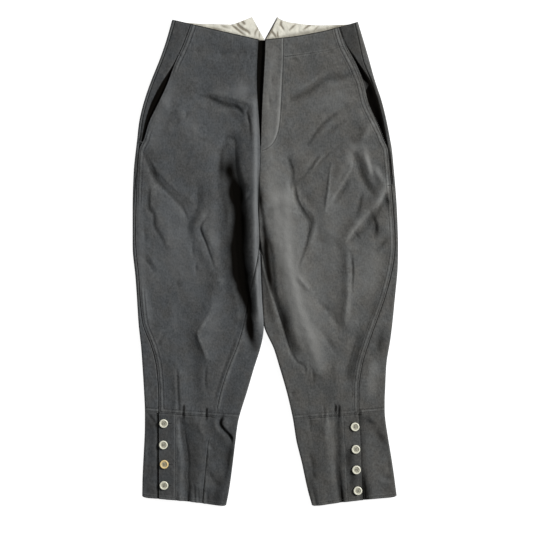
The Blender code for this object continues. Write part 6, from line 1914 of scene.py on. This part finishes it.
def sewing_thread(name, colour):
    """Matt twisted thread: bands wound round it, and lint."""
    finish = Finish(name, roughness=0.8, specular=0.25, sheen=0.05)
    place = finish.object_place()
    band = finish.math("SINE", finish.vector("DOT_PRODUCT", place, (9.0, 13.0, 5.0)))
    tone = finish.math("MULTIPLY_ADD", band, 0.25, finish.noise(place, 1.1))
    cloth = finish.mix(finish.ease(tone, 0.2, 0.9), scaled(colour, 0.7), scaled(colour, 1.35))
    return finish.done(cloth, finish.bump(band, 0.0001, 0.4))


def button_finish(name, colour):
    """Satin moulded button: faint streaks and a greyer, blotchy well."""
    finish = Finish(name, roughness=0.38, specular=0.45)
    place = finish.object_place()
    streak = finish.noise(finish.vector("MULTIPLY", place, (0.35, 1.4, 1.0)), 1.8)
    shell = finish.mix(finish.ease(streak, 0.3, 0.7), scaled(colour, 0.90), scaled(colour, 1.05))
    well_blotch = finish.ease(finish.noise(place, 1.6), 0.3, 0.7, 0.55, 0.9)
    grey = finish.times(finish.fact("well"), well_blotch)
    shell = finish.mix(grey, shell, (0.20, 0.19, 0.14, 1.0))
    return finish.done(shell, finish.bump(streak, 0.00006, 0.3))


def floor_finish():
    """Matt pale board with a trace of grain."""
    finish = Finish("studio_floor", roughness=0.9, specular=0.1)
    finish.shader.inputs["Emission Color"].default_value = (1.0, 1.0, 1.0, 1.0)
    finish.shader.inputs["Emission Strength"].default_value = FLOOR_GLOW
    place = finish.object_place()
    pale = tuple(bpy.context.scene.jodhpurs_stage.floor_colour)
    board = finish.mix(finish.noise(place, 40.0), scaled(pale, 0.25), scaled(pale, 0.252))
    return finish.done(board, finish.bump(finish.noise(place, 2.0), 0.00002, 0.2))


def shared(name, make, *values):
    """The finish of that name, made the first time that it is asked for."""
    return bpy.data.materials.get(name) or make(*values)


def leg_colour(leg):
    """The colour of one leg's drill: the right one is a little darker, partly its own colour and partly
    painted shade.
    """
    return tuple(settings().right_colour if leg.out < 0.0 else settings().left_colour)


def leg_drill(leg):
    """The drill of one leg."""
    name = "charcoal_drill_" + leg.name
    return shared(name, drill, name, leg_colour(leg))


def leg_thread(leg):
    """The sewing thread of one leg."""
    name = "thread_" + leg.name
    return shared(name, sewing_thread, name, scaled(leg_colour(leg), settings().thread_tone))


def inside_drill():
    """The drill in the shade of the fly and of the buttonholes, nearly black: painted shade."""
    return shared("shaded_drill", drill, "shaded_drill", tuple(settings().inside_colour))


def make_button_thread(leg, seats, finish):
    """Two strands over each pair of holes of each button."""
    sewing = Sewing()
    for x, y, z, turn in seats:
        across = math.cos(math.pi / 4.0 + turn) * HOLE_OFFSET
        up = math.sin(math.pi / 4.0 + turn) * HOLE_OFFSET
        for hand in (-1.0, 1.0):
            for strand in (-0.3, 0.3):
                sewing.centres.append(np.array(((x, y + hand * up + strand, z + 0.15),)))
                sewing.ways.append(np.array(((1.0, 0.0, 0.0),)))
                sewing.sizes.append(np.array(((2.0 * across + 1.2, BUTTON_THREAD, 0.9),)))
    return sewing.make("button_thread_" + leg.name, finish, "button_shell")


def make_stage(scene):
    """Studio: a level floor just under the cloth, a square soft light above the garment's left
    and towards its waist, an even fill and the camera looking straight down."""
    own = scene.jodhpurs_stage
    half = FLOOR_SIZE / 2.0
    points = np.array(((-half, -half), (half, -half), (half, half), (-half, half)))
    points = np.concatenate((points, np.full((4, 1), -FLOOR_DROP)), axis=1)
    mesh = new_mesh("floor", points, np.array(((0, 1, 2, 3),)))
    mesh.materials.append(shared("studio_floor", floor_finish))
    floor = bpy.data.objects.new("floor", mesh)
    scene.collection.objects.link(floor)

    lamp = bpy.data.lights.new("key", "AREA")
    lamp.shape = "SQUARE"
    lamp.size = own.key_size
    lamp.energy = own.key_power
    key = bpy.data.objects.new("key", lamp)
    level = own.key_distance * math.cos(own.key_height)
    key.location = (level * math.cos(own.key_turn), level * math.sin(own.key_turn),
                    own.key_distance * math.sin(own.key_height))
    key.rotation_euler = (-key.location).to_track_quat("-Z", "Y").to_euler()
    scene.collection.objects.link(key)

    world = bpy.data.worlds.new("studio")
    world.use_nodes = True
    sky = world.node_tree.nodes["Background"]
    sky.inputs["Color"].default_value = (1.0, 1.0, 1.0, 1.0)
    sky.inputs["Strength"].default_value = own.fill
    scene.world = world
    scene.view_settings.view_transform = "Standard"

    lens = bpy.data.cameras.new("camera")
    lens.lens = LENS_MM
    lens.sensor_width = SENSOR_MM
    camera = bpy.data.objects.new("camera", lens)
    camera.location = (CAMERA_X, CAMERA_Y, CLOTH_Z + FRAME_WIDTH * LENS_MM / SENSOR_MM)
    scene.collection.objects.link(camera)
    scene.camera = camera


class JodhpursCloth(bpy.types.PropertyGroup):
    """Sizes and colours of the garment."""

    crease_amount: bpy.props.FloatProperty(
        name="Creases", description="How deep the creases are", default=1.25, min=0.0, max=2.0,
        subtype="FACTOR")
    stitch_pitch: bpy.props.FloatProperty(
        name="Stitch pitch", description="From one stitch to the next", default=STITCH_PITCH * MM,
        min=0.002, max=0.008, unit="LENGTH", subtype="DISTANCE")
    # Scales the wear beside the seams and the painted highlight on the ridges
    wear_and_highlight: bpy.props.FloatProperty(
        name="Wear", description="How pale the ridges and seams are rubbed", default=0.6,
        min=0.0, max=1.0, subtype="FACTOR")
    thread_tone: bpy.props.FloatProperty(
        name="Thread tone", description="The thread's lightness against the cloth's", default=0.8,
        min=0.1, max=3.0, subtype="FACTOR")
    # The right leg's darker drill is partly its own colour and partly painted shade, as it lies farther
    # from the key light
    right_colour: bpy.props.FloatVectorProperty(
        name="Right leg", description="Drill of the right leg", size=4, subtype="COLOR",
        default=(0.0530, 0.0550, 0.0562, 1.0), min=0.0, max=1.0)
    left_colour: bpy.props.FloatVectorProperty(
        name="Left leg", description="Drill of the left leg", size=4, subtype="COLOR",
        default=(0.066, 0.066, 0.0635, 1.0), min=0.0, max=1.0)
    # Nearly black: painted shade for the fly's underlap and the buttonhole slits
    inside_colour: bpy.props.FloatVectorProperty(
        name="Inside", description="Drill in the shade of the fly", size=4, subtype="COLOR",
        default=(0.003, 0.003, 0.003, 1.0), min=0.0, max=1.0)
    # Colour of the wear and of the painted highlight on the ridges
    worn_and_lit_colour: bpy.props.FloatVectorProperty(
        name="Worn cloth", description="Where the dye is rubbed away", size=4, subtype="COLOR",
        default=(0.16, 0.164, 0.16, 1.0), min=0.0, max=1.0)
    # Painted shade in the folds, gaps and creases, mixed in by the shade attribute; it is not a dye
    painted_shade_colour: bpy.props.FloatVectorProperty(
        name="Fold depth", description="Dye that stays deep in the folds", size=4,
        subtype="COLOR", default=(0.0015, 0.0012, 0.0008, 1.0), min=0.0, max=1.0)
    lining_colour: bpy.props.FloatVectorProperty(
        name="Lining", description="Cotton inside the fishtail", size=4, subtype="COLOR",
        default=(0.50, 0.485, 0.42, 1.0), min=0.0, max=1.0)
    shell_colour: bpy.props.FloatVectorProperty(
        name="Buttons", description="Off-white buttons", size=4, subtype="COLOR",
        default=(0.54, 0.53, 0.435, 1.0), min=0.0, max=1.0)
    tan_colour: bpy.props.FloatVectorProperty(
        name="Yellowed button", description="The one yellowed button", size=4, subtype="COLOR",
        default=(0.60, 0.455, 0.21, 1.0), min=0.0, max=1.0)


class JodhpursStage(bpy.types.PropertyGroup):
    """Sizes and strengths of the studio."""

    key_power: bpy.props.FloatProperty(
        name="Key light", description="Power of the soft light on the right", default=440.0,
        min=0.0, unit="POWER")
    key_height: bpy.props.FloatProperty(
        name="Key height", description="Angle of the key light above the floor",
        default=math.radians(32.0), min=0.1, max=1.5, subtype="ANGLE")
    key_turn: bpy.props.FloatProperty(
        name="Key turn", description="Angle of the key light from the right towards the waist",
        default=math.radians(28.0), min=-3.2, max=3.2, subtype="ANGLE")
    key_size: bpy.props.FloatProperty(
        name="Key size", description="Side of the key light", default=1.0, min=0.05,
        unit="LENGTH", subtype="DISTANCE")
    key_distance: bpy.props.FloatProperty(
        name="Key distance", description="From the key light to the garment", default=5.0,
        min=0.5, unit="LENGTH", subtype="DISTANCE")
    fill: bpy.props.FloatProperty(
        name="Fill", description="Strength of the even light from all round", default=0.45,
        min=0.0, max=2.0, subtype="FACTOR")
    floor_colour: bpy.props.FloatVectorProperty(
        name="Floor", description="The pale board that the garment lies on", size=4,
        subtype="COLOR", default=(0.95, 0.95, 0.95, 1.0), min=0.0, max=1.0)


class JODHPURS_OT_fronts(bpy.types.Operator):
    """Front of each leg, from the waist to the cuff's seam"""

    bl_idname = "jodhpurs.fronts"
    bl_label = "Fronts"

    def execute(self, context):
        for leg in make_legs():
            make_front(leg, leg_drill(leg), 0, CUFF_ROW, FRONT_COLUMNS, "front_" + leg.name)
        return {"FINISHED"}


class JODHPURS_OT_cuff_fronts(bpy.types.Operator):
    """Front of each cuff, with its button strip"""

    bl_idname = "jodhpurs.cuff_fronts"
    bl_label = "Cuff fronts"

    def execute(self, context):
        for leg in make_legs():
            make_front(leg, leg_drill(leg), CUFF_ROW, leg.count - 1, CUFF_COLUMNS,
                       "cuff_front_" + leg.name)
        return {"FINISHED"}


class JODHPURS_OT_backs(bpy.types.Operator):
    """Back of each leg and of each cuff, wrapped round to the seams"""

    bl_idname = "jodhpurs.backs"
    bl_label = "Backs"

    def execute(self, context):
        for leg in make_legs():
            make_back(leg, leg_drill(leg), 0, CUFF_ROW, "back_" + leg.name)
            make_back(leg, leg_drill(leg), CUFF_ROW, leg.count - 1, "cuff_back_" + leg.name)
        return {"FINISHED"}


class JODHPURS_OT_pockets(bpy.types.Operator):
    """Pocket bearer of each hip"""

    bl_idname = "jodhpurs.pockets"
    bl_label = "Pockets"

    def execute(self, context):
        for leg in make_legs():
            make_bearer(leg, leg_drill(leg))
        return {"FINISHED"}


class JODHPURS_OT_fly(bpy.types.Operator):
    """Fly underlap, seen in the open slit"""

    bl_idname = "jodhpurs.fly"
    bl_label = "Fly"

    def execute(self, context):
        right, left = make_legs()
        make_fly(right, left, inside_drill())
        return {"FINISHED"}


class JODHPURS_OT_linings(bpy.types.Operator):
    """Creased lining of the fishtail back"""

    bl_idname = "jodhpurs.linings"
    bl_label = "Linings"

    def execute(self, context):
        for leg in make_legs():
            make_lining(leg, shared("lining_cream", lining_cotton))
        return {"FINISHED"}


class JODHPURS_OT_topstitching(bpy.types.Operator):
    """Rows of stitches beside the seams, the fly, the facings and the hems"""

    bl_idname = "jodhpurs.topstitching"
    bl_label = "Topstitching"

    def execute(self, context):
        for leg in make_legs():
            make_topstitching(leg, leg_thread(leg))
        return {"FINISHED"}


class JODHPURS_OT_buttonholes(bpy.types.Operator):
    """Sewn buttonholes and tacks"""

    bl_idname = "jodhpurs.buttonholes"
    bl_label = "Buttonholes"

    def execute(self, context):
        for leg in make_legs():
            make_buttonholes(leg, leg_thread(leg), inside_drill())
        return {"FINISHED"}


class JODHPURS_OT_buttons(bpy.types.Operator):
    """Four buttons on each cuff, with the thread in their holes"""

    bl_idname = "jodhpurs.buttons"
    bl_label = "Buttons"

    def execute(self, context):
        shell = shared("satin_shell", button_finish, "satin_shell",
                       tuple(settings().shell_colour))
        tan = shared("satin_tan", button_finish, "satin_tan", tuple(settings().tan_colour))
        thread = shared("thread_button", sewing_thread, "thread_button", (0.26, 0.25, 0.22, 1.0))
        for leg in make_legs():
            seats = []
            for number in range(len(leg.buttons)):
                yellowed = leg.out < 0.0 and number == YELLOWED_BUTTON
                make_button(leg, number, tan if yellowed else shell, seats)
            make_button_thread(leg, seats, thread)
        return {"FINISHED"}


class JODHPURS_OT_stage(bpy.types.Operator):
    """Pale floor, soft light from the right, even fill and the camera straight above"""

    bl_idname = "jodhpurs.stage"
    bl_label = "Studio"

    def execute(self, context):
        make_stage(context.scene)
        return {"FINISHED"}


class JODHPURS_PT_panel(bpy.types.Panel):
    """Lists the garment's pieces and sizes"""

    bl_idname = "JODHPURS_PT_panel"
    bl_label = "Cropped jodhpurs"
    bl_space_type = "VIEW_3D"
    bl_region_type = "UI"
    bl_category = "Jodhpurs"

    def draw(self, context):
        column = self.layout.column()
        for group in (context.scene.jodhpurs_cloth, context.scene.jodhpurs_stage):
            for name in group.bl_rna.properties.keys():
                if name not in ("rna_type", "name"):
                    column.prop(group, name)
        for step in STEPS:
            column.operator(step.bl_idname)


STEPS = (
    JODHPURS_OT_stage, JODHPURS_OT_backs, JODHPURS_OT_linings, JODHPURS_OT_fly,
    JODHPURS_OT_pockets, JODHPURS_OT_fronts, JODHPURS_OT_cuff_fronts,
    JODHPURS_OT_topstitching, JODHPURS_OT_buttonholes, JODHPURS_OT_buttons,
)
CLASSES = (JodhpursCloth, JodhpursStage) + STEPS + (JODHPURS_PT_panel,)


def register():
    """Add the classes and the two groups of sizes."""
    for part in CLASSES:
        bpy.utils.register_class(part)
    bpy.types.Scene.jodhpurs_cloth = bpy.props.PointerProperty(type=JodhpursCloth)
    bpy.types.Scene.jodhpurs_stage = bpy.props.PointerProperty(type=JodhpursStage)


def unregister():
    """Take them away again."""
    del bpy.types.Scene.jodhpurs_stage
    del bpy.types.Scene.jodhpurs_cloth
    for part in reversed(CLASSES):
        bpy.utils.unregister_class(part)


def main():
    """Make every piece."""
    register()
    for step in STEPS:
        group, name = step.bl_idname.split(".")
        result = getattr(getattr(bpy.ops, group), name)()
        if result != {"FINISHED"}:
            raise RuntimeError(step.bl_label + " did not finish")
    bpy.context.view_layer.update()


if __name__ == "__main__":
    main()
